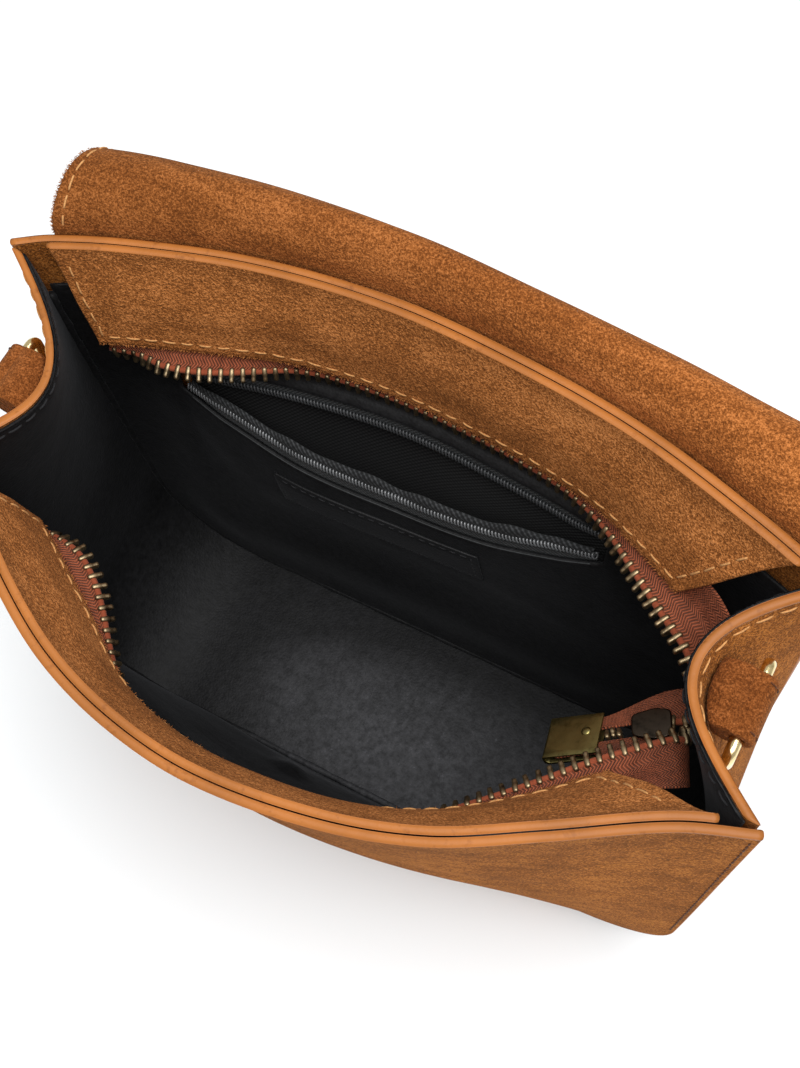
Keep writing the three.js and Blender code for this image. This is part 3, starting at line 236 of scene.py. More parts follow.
def panel_point(side, across, up):
    across, up = np.broadcast_arrays(np.asarray(across, float), np.asarray(up, float))
    height = up * BAG_HEIGHT
    bulge = side.bulge * side.rim(across)
    room = 1 - across * across
    if side.y < 0:
        out = bulge * up + FRONT_BELLY * 6.75 * up * (1 - up) ** 2 * room
    else:
        out = bulge * np.maximum(up, 0) ** 1.25 + BACK_BELLY * np.sin(np.pi * up) * room
    out = out - dents(side.dents, across, up) * room * smooth(up / 0.1)
    depth = mix(BASE_DEPTH, TOP_DEPTH, up) / 2
    sag = bulge * bulge * up / (2 * BAG_HEIGHT)
    x = side.shift * up + half_width(side, height) * across
    return points3(x, side.y * (depth + out), height - sag)


def panel_inward(side, across, up):
    """The unit normal of a panel, pointing into the bag."""
    across, up = np.broadcast_arrays(np.asarray(across, float), np.asarray(up, float))
    clear = np.clip(up, 0.04, 0.9995)
    step = 2e-3
    a0, a1 = np.maximum(-1, across - step), np.minimum(1, across + step)
    b0, b1 = np.maximum(0, clear - step), np.minimum(1, clear + step)
    along = panel_point(side, a1, clear) - panel_point(side, a0, clear)
    upward = panel_point(side, across, b1) - panel_point(side, across, b0)
    normal = unit(np.cross(along, upward))
    return np.where(normal[..., 1:2] * side.y > 0, -normal, normal)


def flat_at_edges(side, across, up):
    normal = panel_inward(side, across, up)
    k = smooth(np.broadcast_to(up, normal.shape[:-1]) / 0.12)[..., None]
    return unit(np.array([0.0, -side.y, 0.0]) * (1 - k) + normal * k)


def hang(side, across, drop, off):
    """A point at a distance down a panel from its rim and off its inner face."""
    across, drop, off = np.broadcast_arrays(np.asarray(across, float), np.asarray(drop, float), off)
    lean = np.clip(off / np.maximum(drop, 1), -0.8, 0.8)
    up = 1 - drop * np.sqrt(1 - lean * lean) / BAG_HEIGHT
    return panel_point(side, across, up) + panel_inward(side, across, up) * off[..., None]


def facing_off(side, across, drop):
    down = drop / FACING_WIDTH
    stand = STAND_OFF * side.stand(across)
    base = np.minimum(stand, STAND_BASE)
    spread = np.maximum(0, stand - base)
    return GAP + (base - GAP) * smooth(down / 0.65) + spread * np.minimum(down, 1) ** 1.5


def surface_normals(points):
    """Unit normals of a grid of points, from its own neighbours."""
    return unit(np.cross(np.gradient(points, axis=1), np.gradient(points, axis=0)))


# Meshes

def make(name, vertices, faces, materials, body="bag", indices=None, uv=None):
    """A mesh piece from points in millimetres; uv is one pair a vertex, in millimetres."""
    mesh = bpy.data.meshes.new(name)
    mesh.from_pydata((np.asarray(vertices) * MM).tolist(), [], [list(map(int, f)) for f in faces])
    for material in materials if isinstance(materials, list) else [materials]:
        mesh.materials.append(material)
    if indices is not None:
        mesh.polygons.foreach_set("material_index", np.asarray(indices, dtype=np.int32))
    mesh.polygons.foreach_set("use_smooth", np.ones(len(mesh.polygons), bool))
    if uv is not None:
        layer = mesh.uv_layers.new(name="cloth")
        corners = np.empty(len(mesh.loops), dtype=np.int32)
        mesh.loops.foreach_get("vertex_index", corners)
        layer.data.foreach_set("uv", (np.asarray(uv)[corners] * MM).ravel())
    mesh.validate()
    mesh.update()
    piece = bpy.data.objects.new(name, mesh)
    bpy.context.scene.collection.objects.link(piece)
    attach(piece, body)
    return piece


def dress(piece, node):
    """Puts a piece in the place of a CAD node."""
    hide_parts(node)
    return piece


def outward(faces_of, vertices):
    """Turns all faces round if the closed mesh is inside out."""
    volume = 0.0
    for face in faces_of:
        a = vertices[face[0]]
        for i in range(1, len(face) - 1):
            volume += float(np.dot(a, np.cross(vertices[face[i]], vertices[face[i + 1]])))
    return [tuple(reversed(f)) for f in faces_of] if volume < 0 else faces_of


def run_length(points):
    """The distance along a polyline to each of its points."""
    return np.concatenate([[0], np.cumsum(np.linalg.norm(np.diff(points, axis=0), axis=-1))])


def sheet(name, low, high, materials, round_=0.5, skip=None, steps=2, edge=(0, 0, 0, 0), wrap=None):
    """A closed sheet between two grids of points, with rounded borders. edge gives the
    material index of the border on the first row, last column, last row and first column,
    and wrap how many rows of faces beside each of them are painted too."""
    rows, columns = low.shape[:2]
    thick = np.linalg.norm(high - low, axis=-1, keepdims=True)
    out = np.zeros_like(low)
    middle = (low + high) / 2
    out[0] += unit(middle[0] - middle[1])
    out[-1] += unit(middle[-1] - middle[-2])
    out[:, 0] += unit(middle[:, 0] - middle[:, 1])
    out[:, -1] += unit(middle[:, -1] - middle[:, -2])
    out = np.where(np.linalg.norm(out, axis=-1, keepdims=True) > 0.1, unit(out), 0)
    low = low - out * thick * round_ / 2
    high = high - out * thick * round_ / 2
    uv = np.stack(np.meshgrid(run_length(middle[rows // 2]), run_length(middle[:, columns // 2])), -1)
    uv = uv.reshape(-1, 2)
    count = rows * columns
    vertices, uvs = [low.reshape(-1, 3), high.reshape(-1, 3)], [uv, uv]
    grid = np.arange(count).reshape(rows, columns)
    keep = np.ones((rows - 1, columns - 1), bool) if skip is None else ~skip
    front = np.stack([grid[:-1, :-1], grid[:-1, 1:], grid[1:, 1:], grid[1:, :-1]], -1)[keep]
    faces = (front + count).tolist() + front[:, ::-1].tolist()
    painted = np.zeros((rows - 1, columns - 1), int)
    if wrap is not None:
        painted[:wrap[0]] = 1
        painted[:, columns - 1 - wrap[1]:] = 1
        painted[rows - 1 - wrap[2]:] = 1
        painted[:, :wrap[3]] = 1
    indices = painted[keep].tolist() * 2
    border = [(0, j, 0) for j in range(columns - 1)]
    border += [(i, columns - 1, 1) for i in range(rows - 1)]
    border += [(rows - 1, j, 2) for j in range(columns - 1, 0, -1)]
    border += [(i, 0, 3) for i in range(rows - 1, 0, -1)]
    bi, bj, sides = np.array(border).T
    at = bi * columns + bj
    n = len(at)
    rings = [at]
    for k in range(1, steps + 1):
        turn = math.pi * k / (steps + 1)
        ring = mix(low[bi, bj], high[bi, bj], (1 - math.cos(turn)) / 2)
        vertices.append(ring + out[bi, bj] * thick[bi, bj] * round_ / 2 * math.sin(turn))
        uvs.append(uv[at])
        rings.append(2 * count + n * (k - 1) + np.arange(n))
    rings.append(at + count)
    for first, second in zip(rings, rings[1:]):
        for k in range(n):
            faces.append([first[k], first[(k + 1) % n], second[(k + 1) % n], second[k]])
            indices.append(edge[sides[k]])
    if skip is not None:
        around = (((-1, 0), (0, 0), (0, 1)), ((1, 0), (1, 1), (1, 0)),
                  ((0, -1), (1, 0), (0, 0)), ((0, 1), (0, 1), (1, 1)))
        for i, j in np.argwhere(skip):
            for beside, p, q in around:
                if not skip[i + beside[0], j + beside[1]]:
                    a, b = grid[i + p[0], j + p[1]], grid[i + q[0], j + q[1]]
                    faces.append([b, a, a + count, b + count])
                    indices.append(0)
    vertices = np.concatenate(vertices)
    return make(name, vertices, outward(faces, vertices), materials, "bag", indices, np.concatenate(uvs))


def sheet_on(name, points, inner, outer, materials, **options):
    normals = surface_normals(points)
    return sheet(name, points + normals * inner, points + normals * outer, materials, **options)


def loft(rings, closed=False):
    """Vertices and faces of a solid through rings of equal size."""
    rings = np.asarray(rings)
    count, size = rings.shape[:2]
    faces = []
    for i in range(count if closed else count - 1):
        n = (i + 1) % count
        for k in range(size):
            m = (k + 1) % size
            faces.append([i * size + k, i * size + m, n * size + m, n * size + k])
    if not closed:
        faces.append(list(range(size))[::-1])
        faces.append([(count - 1) * size + k for k in range(size)])
    vertices = rings.reshape(-1, 3)
    return vertices, outward(faces, vertices)


def joined(parts):
    """Several (vertices, faces) as one."""
    vertices, faces, start = [], [], 0
    for v, f in parts:
        vertices.append(v)
        faces += [[i + start for i in face] for face in f]
        start += len(v)
    return np.concatenate(vertices), faces


def copies(vertices, faces, origins, xs, ys, zs):
    """Copies of one small solid, each in its own axes, as one mesh."""
    vertices = np.asarray(vertices)
    placed = (origins[:, None] + vertices[None, :, 0:1] * xs[:, None]
              + vertices[None, :, 1:2] * ys[:, None] + vertices[None, :, 2:3] * zs[:, None])
    n = len(vertices)
    all_faces = [[i + k * n for i in face] for k in range(len(origins)) for face in faces]
    return placed.reshape(-1, 3), all_faces


def along_curve(points, spacing, start=0.0, end=0.0):
    """Evenly spaced places on a polyline, as indices that are floats."""
    length = run_length(points)
    count = max(2, int((length[-1] - start - end) / spacing) + 1)
    places = start + np.arange(count) * spacing
    places = places[places <= length[-1] - end]
    return np.interp(places, length, np.arange(len(points)))


def read_curve(values, index):
    i = np.clip(index.astype(int), 0, len(values) - 2)
    k = (index - i)[:, None]
    return values[i] * (1 - k) + values[i + 1] * k


def spline(points, count):
    """A smooth curve through a few points, evenly spaced."""
    points = np.asarray(points, float)
    steps = np.linalg.norm(np.diff(points, axis=0), axis=-1)
    t = np.concatenate([[0], np.cumsum(np.sqrt(steps))])
    n = len(points)
    slopes = np.empty_like(points)
    slopes[1:-1] = (points[2:] - points[:-2]) / (t[2:] - t[:-2])[:, None]
    slopes[0] = (points[1] - points[0]) / (t[1] - t[0])
    slopes[-1] = (points[-1] - points[-2]) / (t[-1] - t[-2])
    s = np.linspace(0, t[-1], count)
    i = np.clip(np.searchsorted(t, s, side="right") - 1, 0, n - 2)
    width = (t[i + 1] - t[i])[:, None]
    k = (s - t[i])[:, None] / width
    return (points[i] * (1 - 3 * k ** 2 + 2 * k ** 3) + points[i + 1] * (3 * k ** 2 - 2 * k ** 3)
            + slopes[i] * width * (k - 2 * k ** 2 + k ** 3) + slopes[i + 1] * width * (k ** 3 - k ** 2))


def tube(path, radius, sides=10, closed=False, normal=None):
    """A round bar along a path; radius is one number or one for each point."""
    path = np.asarray(path, float)
    if closed:
        tangent = unit(np.roll(path, -1, 0) - np.roll(path, 1, 0))
    else:
        tangent = unit(np.gradient(path, axis=0))
    up = np.tile(np.array([0.0, 0.0, 1.0]) if normal is None else np.asarray(normal, float), (len(path), 1))
    side = unit(np.cross(tangent, up))
    up = np.cross(side, tangent)
    turn = np.linspace(0, 2 * np.pi, sides, endpoint=False)
    radius = np.broadcast_to(np.asarray(radius, float), (len(path),))[:, None, None]
    rings = path[:, None] + radius * (side[:, None] * np.cos(turn)[None, :, None]
                                      + up[:, None] * np.sin(turn)[None, :, None])
    return loft(rings, closed)


# Materials

class Look:
    """A node material with a few short calls."""

    def __init__(self, name, **values):
        self.material = bpy.data.materials.new(name)
        self.material.use_nodes = True
        self.tree = self.material.node_tree
        self.tree.nodes.clear()
        self.shader = self.tree.nodes.new("ShaderNodeBsdfPrincipled")
        output = self.tree.nodes.new("ShaderNodeOutputMaterial")
        self.tree.links.new(self.shader.outputs[0], output.inputs["Surface"])
        for key, value in values.items():
            self.shader.inputs[key.replace("_", " ")].default_value = value
        self.place = self.tree.nodes.new("ShaderNodeTexCoord").outputs["Object"]

    def put(self, socket, value):
        if isinstance(value, bpy.types.NodeSocket):
            self.tree.links.new(value, socket)
        elif value is not None:
            socket.default_value = value

    def set(self, key, value):
        self.put(self.shader.inputs[key], value)

    def uv(self):
        node = self.tree.nodes.new("ShaderNodeUVMap")
        node.uv_map = "cloth"
        return node.outputs[0]

    def stretch(self, place, scale, turn=(0, 0, 0)):
        node = self.tree.nodes.new("ShaderNodeMapping")
        self.put(node.inputs["Vector"], place)
        node.inputs["Scale"].default_value = scale
        node.inputs["Rotation"].default_value = [math.radians(a) for a in turn]
        return node.outputs[0]

    def noise(self, scale, detail=3.0, rough=0.55, place=None, warp=0.0):
        node = self.tree.nodes.new("ShaderNodeTexNoise")
        self.put(node.inputs["Vector"], self.place if place is None else place)
        node.inputs["Scale"].default_value = scale
        node.inputs["Detail"].default_value = detail
        node.inputs["Roughness"].default_value = rough
        node.inputs["Distortion"].default_value = warp
        return node.outputs["Fac"]

    def cells(self, scale, place=None, feature="F1", spread=1.0):
        node = self.tree.nodes.new("ShaderNodeTexVoronoi")
        node.feature = feature
        self.put(node.inputs["Vector"], self.place if place is None else place)
        node.inputs["Scale"].default_value = scale
        node.inputs["Randomness"].default_value = spread
        return node.outputs["Distance"]

    def math(self, kind, a, b=None, c=None):
        node = self.tree.nodes.new("ShaderNodeMath")
        node.operation = kind
        for socket, value in zip(node.inputs, (a, b, c)):
            self.put(socket, value)
        return node.outputs[0]

    def split(self, place):
        node = self.tree.nodes.new("ShaderNodeSeparateXYZ")
        self.put(node.inputs[0], place)
        return node.outputs

    def ramp(self, value, *stops):
        node = self.tree.nodes.new("ShaderNodeValToRGB")
        self.put(node.inputs[0], value)
        ramp = node.color_ramp
        while len(ramp.elements) < len(stops):
            ramp.elements.new(0.5)
        for element, (position, color) in zip(ramp.elements, stops):
            element.position = position
            element.color = (*color, 1) if len(color) == 3 else color
        return node.outputs[0]

    def blend(self, share, a, b, kind="MIX"):
        node = self.tree.nodes.new("ShaderNodeMix")
        node.data_type = "RGBA"
        node.blend_type = kind
        self.put(node.inputs[0], share)
        for socket, value in ((node.inputs[6], a), (node.inputs[7], b)):
            self.put(socket, (*value, 1) if isinstance(value, tuple) and len(value) == 3 else value)
        return node.outputs[2]

    def bump(self, height, strength, distance, below=None):
        node = self.tree.nodes.new("ShaderNodeBump")
        node.inputs["Strength"].default_value = strength
        node.inputs["Distance"].default_value = distance
        self.put(node.inputs["Height"], height)
        if below is not None:
            self.put(node.inputs["Normal"], below)
        return node.outputs[0]


def linear(r, g, b):
    """A colour given as seen, 0 to 255, turned to linear light."""
    def one(v):
        v /= 255
        return v / 12.92 if v <= 0.04045 else ((v + 0.055) / 1.055) ** 2.4
    return (one(r), one(g), one(b))


def scaled(color, k):
    return tuple(c * k for c in color)


def suede_look(name, base, turn=20.0, contrast=1.0, across=None):
    """Napped split leather: clouds, brushed streaks, a mottle and a fine grain."""
    look = Look(name, Roughness=0.95, Specular_IOR_Level=0.06, Sheen_Weight=0.05, Sheen_Roughness=0.6,
                Sheen_Tint=(1.0, 0.62, 0.34, 1))
    cloudy = look.noise(42, 2, 0.55)
    brushed = look.noise(230, 2.5, 0.6, look.stretch(look.place, (0.28, 1.5, 0.9), (0, 0, turn)))
    streaks = look.noise(75, 3, 0.6, look.stretch(look.place, (0.25, 1.8, 1.2), (0, 0, turn + 12)))
    mottle = look.noise(700, 2, 0.6, warp=0.4)
    grain = look.noise(1750, 1.5, 0.6)
    fine = look.noise(3300, 1, 0.5)
    parts = ((0.35, cloudy), (0.4, brushed), (0.35, streaks), (0.3, mottle), (1.2, grain), (0.9, fine))
    shade = 0.5 - 0.5 * contrast * sum(weight for weight, _ in parts)
    for weight, part in parts:
        shade = look.math("MULTIPLY_ADD", part, weight * contrast, shade)
    color = look.ramp(shade, (0.14, tuple(c * k for c, k in zip(base, (0.5, 0.46, 0.42)))),
                      (0.36, tuple(c * k for c, k in zip(base, (0.74, 0.71, 0.68)))), (0.5, base),
                      (0.66, tuple(c * k for c, k in zip(base, (1.36, 1.43, 1.55)))),
                      (0.86, tuple(c * k for c, k in zip(base, (1.9, 2.15, 2.7)))))
    # Painted shade: with across given, the colour is multiplied by a ramp along X, from across[0] at the
    # left to across[1] at the right.
    if across:
        x, _, _ = look.split(look.place)
        share = look.math("MULTIPLY_ADD", x, 5.2, 0.5)
        shading = look.ramp(share, (0, (across[0],) * 3), (1, (across[1],) * 3))
        color = look.blend(1.0, color, shading, "MULTIPLY")
    look.set("Base Color", color)
    height = look.math("MULTIPLY_ADD", brushed, 0.6, look.math("MULTIPLY_ADD", fine, 0.5, grain))
    nap = look.bump(height, 0.7, 0.0005)
    look.set("Normal", look.bump(mottle, 0.45, 0.0008, nap))
    return look.material


def paint_look(name, base):
    look = Look(name, Roughness=0.5, Specular_IOR_Level=0.28)
    cloudy = look.noise(60, 3, 0.5)
    fine = look.noise(900, 3, 0.6)
    color = look.ramp(cloudy, (0.35, scaled(base, 0.86)), (0.5, base), (0.65, scaled(base, 1.12)))
    wear_and_painted_light = look.ramp(look.noise(260, 4, 0.7), (0.3, (0.72, 0.68, 0.62)), (0.42, (1, 1, 1)))
    look.set("Base Color", look.blend(1.0, color, wear_and_painted_light, "MULTIPLY"))
    look.set("Normal", look.bump(fine, 0.3, 0.0003))
    return look.material


def lining_look(name, base, shine=0.5, wear_and_painted_light=0.0):
    look = Look(name, Roughness=0.62, Specular_IOR_Level=0.22, Sheen_Weight=0.04, Sheen_Roughness=0.4,
                Sheen_Tint=(0.85, 0.87, 0.92, 1))
    cloudy = look.noise(30, 3, 0.55)
    grain = look.noise(1500, 2, 0.6)
    pores = look.cells(1300)
    color = look.ramp(cloudy, (0.35, scaled(base, 0.8)), (0.65, scaled(base, 1.25)))
    fluff = look.ramp(look.noise(520, 4, 0.75), (0.62, (1, 1, 1)), (0.78, (2.4, 2.4, 2.5)))
    color = look.blend(1.0, color, fluff, "MULTIPLY")
    # Painted light: the floor of the bag and the foot of the front lining are made several times lighter in
    # a soft pool, standing in for the light that falls in from above; a random mottle is laid over it.
    if wear_and_painted_light:
        away = None
        for part, (shift, scale) in zip(look.split(look.place), ((-0.012, 17), (0.012, 36), (None, 22))):
            part = part if shift is None else look.math("ADD", part, shift)
            square = look.math("POWER", look.math("MULTIPLY", part, scale), 2)
            away = square if away is None else look.math("ADD", away, square)
        away = look.math("MULTIPLY_ADD", look.noise(45, 4, 0.6), 0.9, away)
        away = look.math("MULTIPLY", away, 0.5)
        painted_floor_light = look.ramp(away, (0.12, (wear_and_painted_light,) * 3), (0.5, (wear_and_painted_light * 0.68,) * 3), (0.95, (1, 1, 1)))
        color = look.blend(1.0, color, painted_floor_light, "MULTIPLY")
        speckle = look.ramp(look.noise(480, 3, 0.7), (0.34, (0.62,) * 3), (0.66, (1.5,) * 3))
        color = look.blend(1.0, color, speckle, "MULTIPLY")
    look.set("Base Color", color)
    look.set("Roughness", look.math("MULTIPLY_ADD", cloudy, 0.2, shine))
    crease = look.bump(look.noise(70, 3, 0.5), 0.3, 0.0015)
    look.set("Normal", look.bump(look.math("ADD", pores, grain), 0.3, 0.00022, crease))
    return look.material


def twill_look(name, base, pitch, bright=1.6, rough=0.8, turn=45.0):
    """Diagonal ribs on the cloth's own coordinates; pitch is in metres."""
    look = Look(name, Roughness=rough, Specular_IOR_Level=0.14, Sheen_Weight=0.05, Sheen_Roughness=0.5)
    u, v, _ = look.split(look.uv())
    c, s = math.cos(math.radians(turn)), math.sin(math.radians(turn))
    k = 2 * math.pi / pitch
    wave = look.math("ADD", look.math("MULTIPLY", u, c * k), look.math("MULTIPLY", v, s * k))
    wave = look.math("SINE", wave)
    across = look.math("SINE", look.math("SUBTRACT", look.math("MULTIPLY", u, s * k * 0.9),
                                         look.math("MULTIPLY", v, c * k * 0.9)))
    height = look.math("MULTIPLY_ADD", wave, 0.5, look.math("MULTIPLY", across, 0.22))
    shade = look.math("ADD", height, look.noise(900, 3, 0.6))
    color = look.ramp(shade, (0.1, scaled(base, 0.55)), (0.6, base), (1.0, scaled(base, bright)))
    look.set("Base Color", color)
    look.set("Normal", look.bump(height, 0.6, 0.00022))
    return look.material


def herringbone_look(name, base, rib, band):
    """A woven tape: slanted yarns that turn about in narrow bands along the tape."""
    look = Look(name, Roughness=0.8, Specular_IOR_Level=0.14, Sheen_Weight=0.06, Sheen_Roughness=0.4,
                Sheen_Tint=(1, 0.7, 0.6, 1))
    u, v, _ = look.split(look.uv())
    fold = look.math("PINGPONG", v, band)
    k = 2 * math.pi / rib
    phase = look.math("ADD", look.math("MULTIPLY", u, k), look.math("MULTIPLY", fold, k * 1.1))
    yarn = look.math("SINE", phase)
    ply = look.math("SINE", look.math("MULTIPLY", look.math("SUBTRACT", u, fold), k * 2.3))
    height = look.math("ADD", yarn, look.math("MULTIPLY", ply, 0.3))
    shade = look.math("MULTIPLY_ADD", height, 0.36, look.noise(500, 3, 0.6))
    look.set("Base Color", look.ramp(shade, (0.1, scaled(base, 0.35)), (0.45, scaled(base, 0.8)),
                                     (0.6, base), (0.9, scaled(base, 1.55))))
    look.set("Normal", look.bump(height, 0.9, 0.00035))
    return look.material


def metal_look(name, base, dark, rough=0.38, wear=0.5):
    look = Look(name, Metallic=1.0, Roughness=rough)
    cloudy = look.noise(240, 4, 0.65)
    fine = look.noise(1500, 3, 0.6)
    color = look.ramp(cloudy, (0.32, dark), (0.32 + 0.3 * wear, base), (0.75, scaled(base, 1.25)))
    look.set("Base Color", color)
    look.set("Roughness", look.math("MULTIPLY_ADD", fine, 0.25, rough - 0.08))
    look.set("Normal", look.bump(fine, 0.2, 0.00012))
    return look.material


def thread_look(name, base):
    look = Look(name, Roughness=0.75, Specular_IOR_Level=0.15, Sheen_Weight=0.05)
    shade = look.noise(2500, 2, 0.6)
    look.set("Base Color", look.ramp(shade, (0.3, scaled(base, 0.65)), (0.7, scaled(base, 1.2))))
    look.set("Normal", look.bump(look.noise(3500, 2, 0.5), 0.5, 0.0001))
    return look.material


suede = suede_look("suede", linear(137, 80, 30), -22.0, 1.45)
suede_tab = suede_look("suede_tab", linear(118, 66, 29), 80.0)
# Painted shade: the flap is darkened towards its left side, 0.62 there against 0.98 at the right.
suede_flap = suede_look("suede_flap", linear(146, 85, 39), -28.0, 1.15, (0.62, 0.98))
suede_facing = suede_look("suede_facing", linear(151, 92, 45), -30.0, 1.25)
suede_fuzz = suede_look("suede_fuzz", linear(170, 107, 56))
paint = paint_look("edge_paint", linear(161, 98, 43))
# Painted light: the last number is how much lighter the pool on the bag's floor is painted.
lining = lining_look("lining", linear(19, 19, 20), 0.5, 6.2)
# One pocket twill in two copies: painted darker inside the pocket, as shade, and painted lighter on the
# fold at the lower lip, as light.
pocket_twill_painted_shade = twill_look("pocket_twill", linear(11, 11, 12), 0.0011, 2.6)
pocket_fold_painted_light = twill_look("pocket_fold_painted_light", linear(38, 39, 40), 0.0011, 2.2)
pocket_tape = twill_look("pocket_tape", linear(64, 66, 67), 0.0009, 1.7)
# One coil material in two copies: the lower coil's copy is painted lighter, as light, and the upper coil's
# darker, as shade; they differ in gloss too.
coil_painted_light = Look("coil_painted_light", Roughness=0.26, Specular_IOR_Level=1.0, Base_Color=(0.14, 0.145, 0.15, 1))
coil_painted_shade = Look("coil_painted_shade", Roughness=0.4, Specular_IOR_Level=0.6, Base_Color=(0.05, 0.052, 0.055, 1))
tape_look = herringbone_look("zip_tape", linear(157, 85, 57), 0.0008, 0.0011)
bead_look = twill_look("zip_cord", linear(134, 66, 42), 0.0009, 1.4)
teeth_metal = metal_look("antique_brass", (0.3, 0.225, 0.13), (0.06, 0.04, 0.025), 0.4)
slider_metal = metal_look("dark_bronze", (0.045, 0.034, 0.025), (0.02, 0.016, 0.012), 0.32)
clamp_metal = metal_look("olive_brass", (0.24, 0.2, 0.075), (0.11, 0.09, 0.03), 0.33)
ring_metal = metal_look("pale_gold", (0.78, 0.62, 0.32), (0.5, 0.38, 0.18), 0.16, 0.2)
steel = metal_look("steel", (0.4, 0.41, 0.43), (0.2, 0.2, 0.21), 0.4)
leather_black = lining_look("patch_leather", linear(25, 25, 26), 0.42)
thread_light = thread_look("thread_tan", linear(196, 143, 88))
thread_dark = thread_look("thread_brown", linear(82, 46, 22))
thread_black = thread_look("thread_black", linear(36, 36, 38))


# Stitches

def stitches(name, curve, normals, material, pitch, length, radius=0.23, lift=0.1, start=2.0, seed=1):
    """A row of single stitches laid on a surface along a curve."""
    rng = np.random.default_rng(seed)
    index = along_curve(curve, pitch, start, start)
    middle = read_curve(curve, index)
    tangent = unit(read_curve(unit(np.gradient(curve, axis=0)), index))
    normal = unit(read_curve(normals, index))
    side = unit(np.cross(normal, tangent))
    turn = rng.normal(0, 0.06, len(index))
    tangent, side = (tangent * np.cos(turn)[:, None] + side * np.sin(turn)[:, None],
                     side * np.cos(turn)[:, None] - tangent * np.sin(turn)[:, None])
    rings = []
    for k in np.linspace(-0.5, 0.5, 9):
        arch = 1 - (2 * k) ** 2
        r = radius * (0.55 + 0.45 * min(1, 3.2 * arch))
        centre = np.array([k * length, 0.0, lift + (radius * 1.1) * (arch - 0.75)])
        rings.append([centre + np.array([0, r * math.cos(t) * 1.15, r * math.sin(t)])
                      for t in np.linspace(0, 2 * math.pi, 7)[:-1]])
    vertices, faces = loft(rings)
    sizes = rng.uniform(0.85, 1.12, len(index))[:, None]
    placed, all_faces = copies(vertices, faces, middle, tangent * sizes, side, normal)
    return make(name, placed, all_faces, material)


def fuzz(name, curve, ways, normals, material, per_mm=12.0, length=0.75, seed=0):
    """Short loose fibres, thin cones standing out from a cut suede edge."""
    rng = np.random.default_rng(seed)
    run = run_length(curve)
    count = int(run[-1] * per_mm)
    index = np.interp(rng.uniform(0, run[-1], count), run, np.arange(len(curve)))
    along = unit(np.gradient(curve, axis=0))
    roots, tangents = read_curve(curve, index), unit(read_curve(along, index))
    way, normal = unit(read_curve(ways, index)), unit(read_curve(normals, index))
    roots = roots + normal * rng.uniform(-1.3, 0.1, (count, 1)) - way * 0.15
    beside = tangents * rng.normal(0, 0.65, (count, 1))
    lean = unit(way + beside + normal * rng.normal(0.1, 0.45, (count, 1)))
    reach = length * rng.uniform(0.35, 1.35, (count, 1))
    bend = roots + lean * reach * 0.55
    tip = bend + unit(lean + tangents * rng.normal(0, 0.6, (count, 1))) * reach * 0.5
    one = unit(np.cross(lean, normal))
    two = np.cross(lean, one)
    rings = []
    for centre, radius in ((roots, 0.075), (bend, 0.055)):
        for turn in (0.0, 2.1, 4.2):
            rings.append(centre + (one * math.cos(turn) + two * math.sin(turn)) * radius)
    vertices = np.stack(rings + [tip], axis=1).reshape(-1, 3)
    faces = []
    for k in range(0, count * 7, 7):
        faces += [(k, k + 2, k + 1), (k + 3, k + 4, k + 6), (k + 4, k + 5, k + 6), (k + 5, k + 3, k + 6)]
        faces += [(k + i, k + (i + 1) % 3, k + 3 + (i + 1) % 3, k + 3 + i) for i in range(3)]
    make(name, vertices, faces, material)


# The panels

def panel_ups(arc_rows, leg_rows):
    arc = CORNER_RADIUS * (1 - np.cos(np.arange(arc_rows) / arc_rows * np.pi / 2)) / BAG_HEIGHT
    return np.concatenate([arc, np.linspace(CORNER_RADIUS / BAG_HEIGHT, 1, leg_rows + 1)])


def build_panel(name, side, node):
    across = np.linspace(-1, 1, 161)[None, :]
    ups = np.sort(np.append(panel_ups(18, 70), 1 - np.array([0.25, 0.7]) / BAG_HEIGHT))[:, None]
    points = panel_point(side, across, ups)
    normals = flat_at_edges(side, across, ups)
    piece = sheet(name, points, points - normals * SUEDE, [suede, paint], steps=4,
                  edge=(1, 1, 1, 1), wrap=(0, 0, 2, 0))
    dress(piece, node)
    return piece


build_panel("front_wall", FRONT, "front_panel")
build_panel("back_wall", BACK, "back_panel")


# The facings

def facing_point(side, a, b, extra=0.0):
    rim_left, low_left, rim_right, low_right = side.ends
    across = mix(mix(rim_left, low_left, b), mix(rim_right, low_right, b), (a + 1) / 2)
    return hang(side, across, b * FACING_WIDTH, facing_off(side, across, b * FACING_WIDTH) + extra)


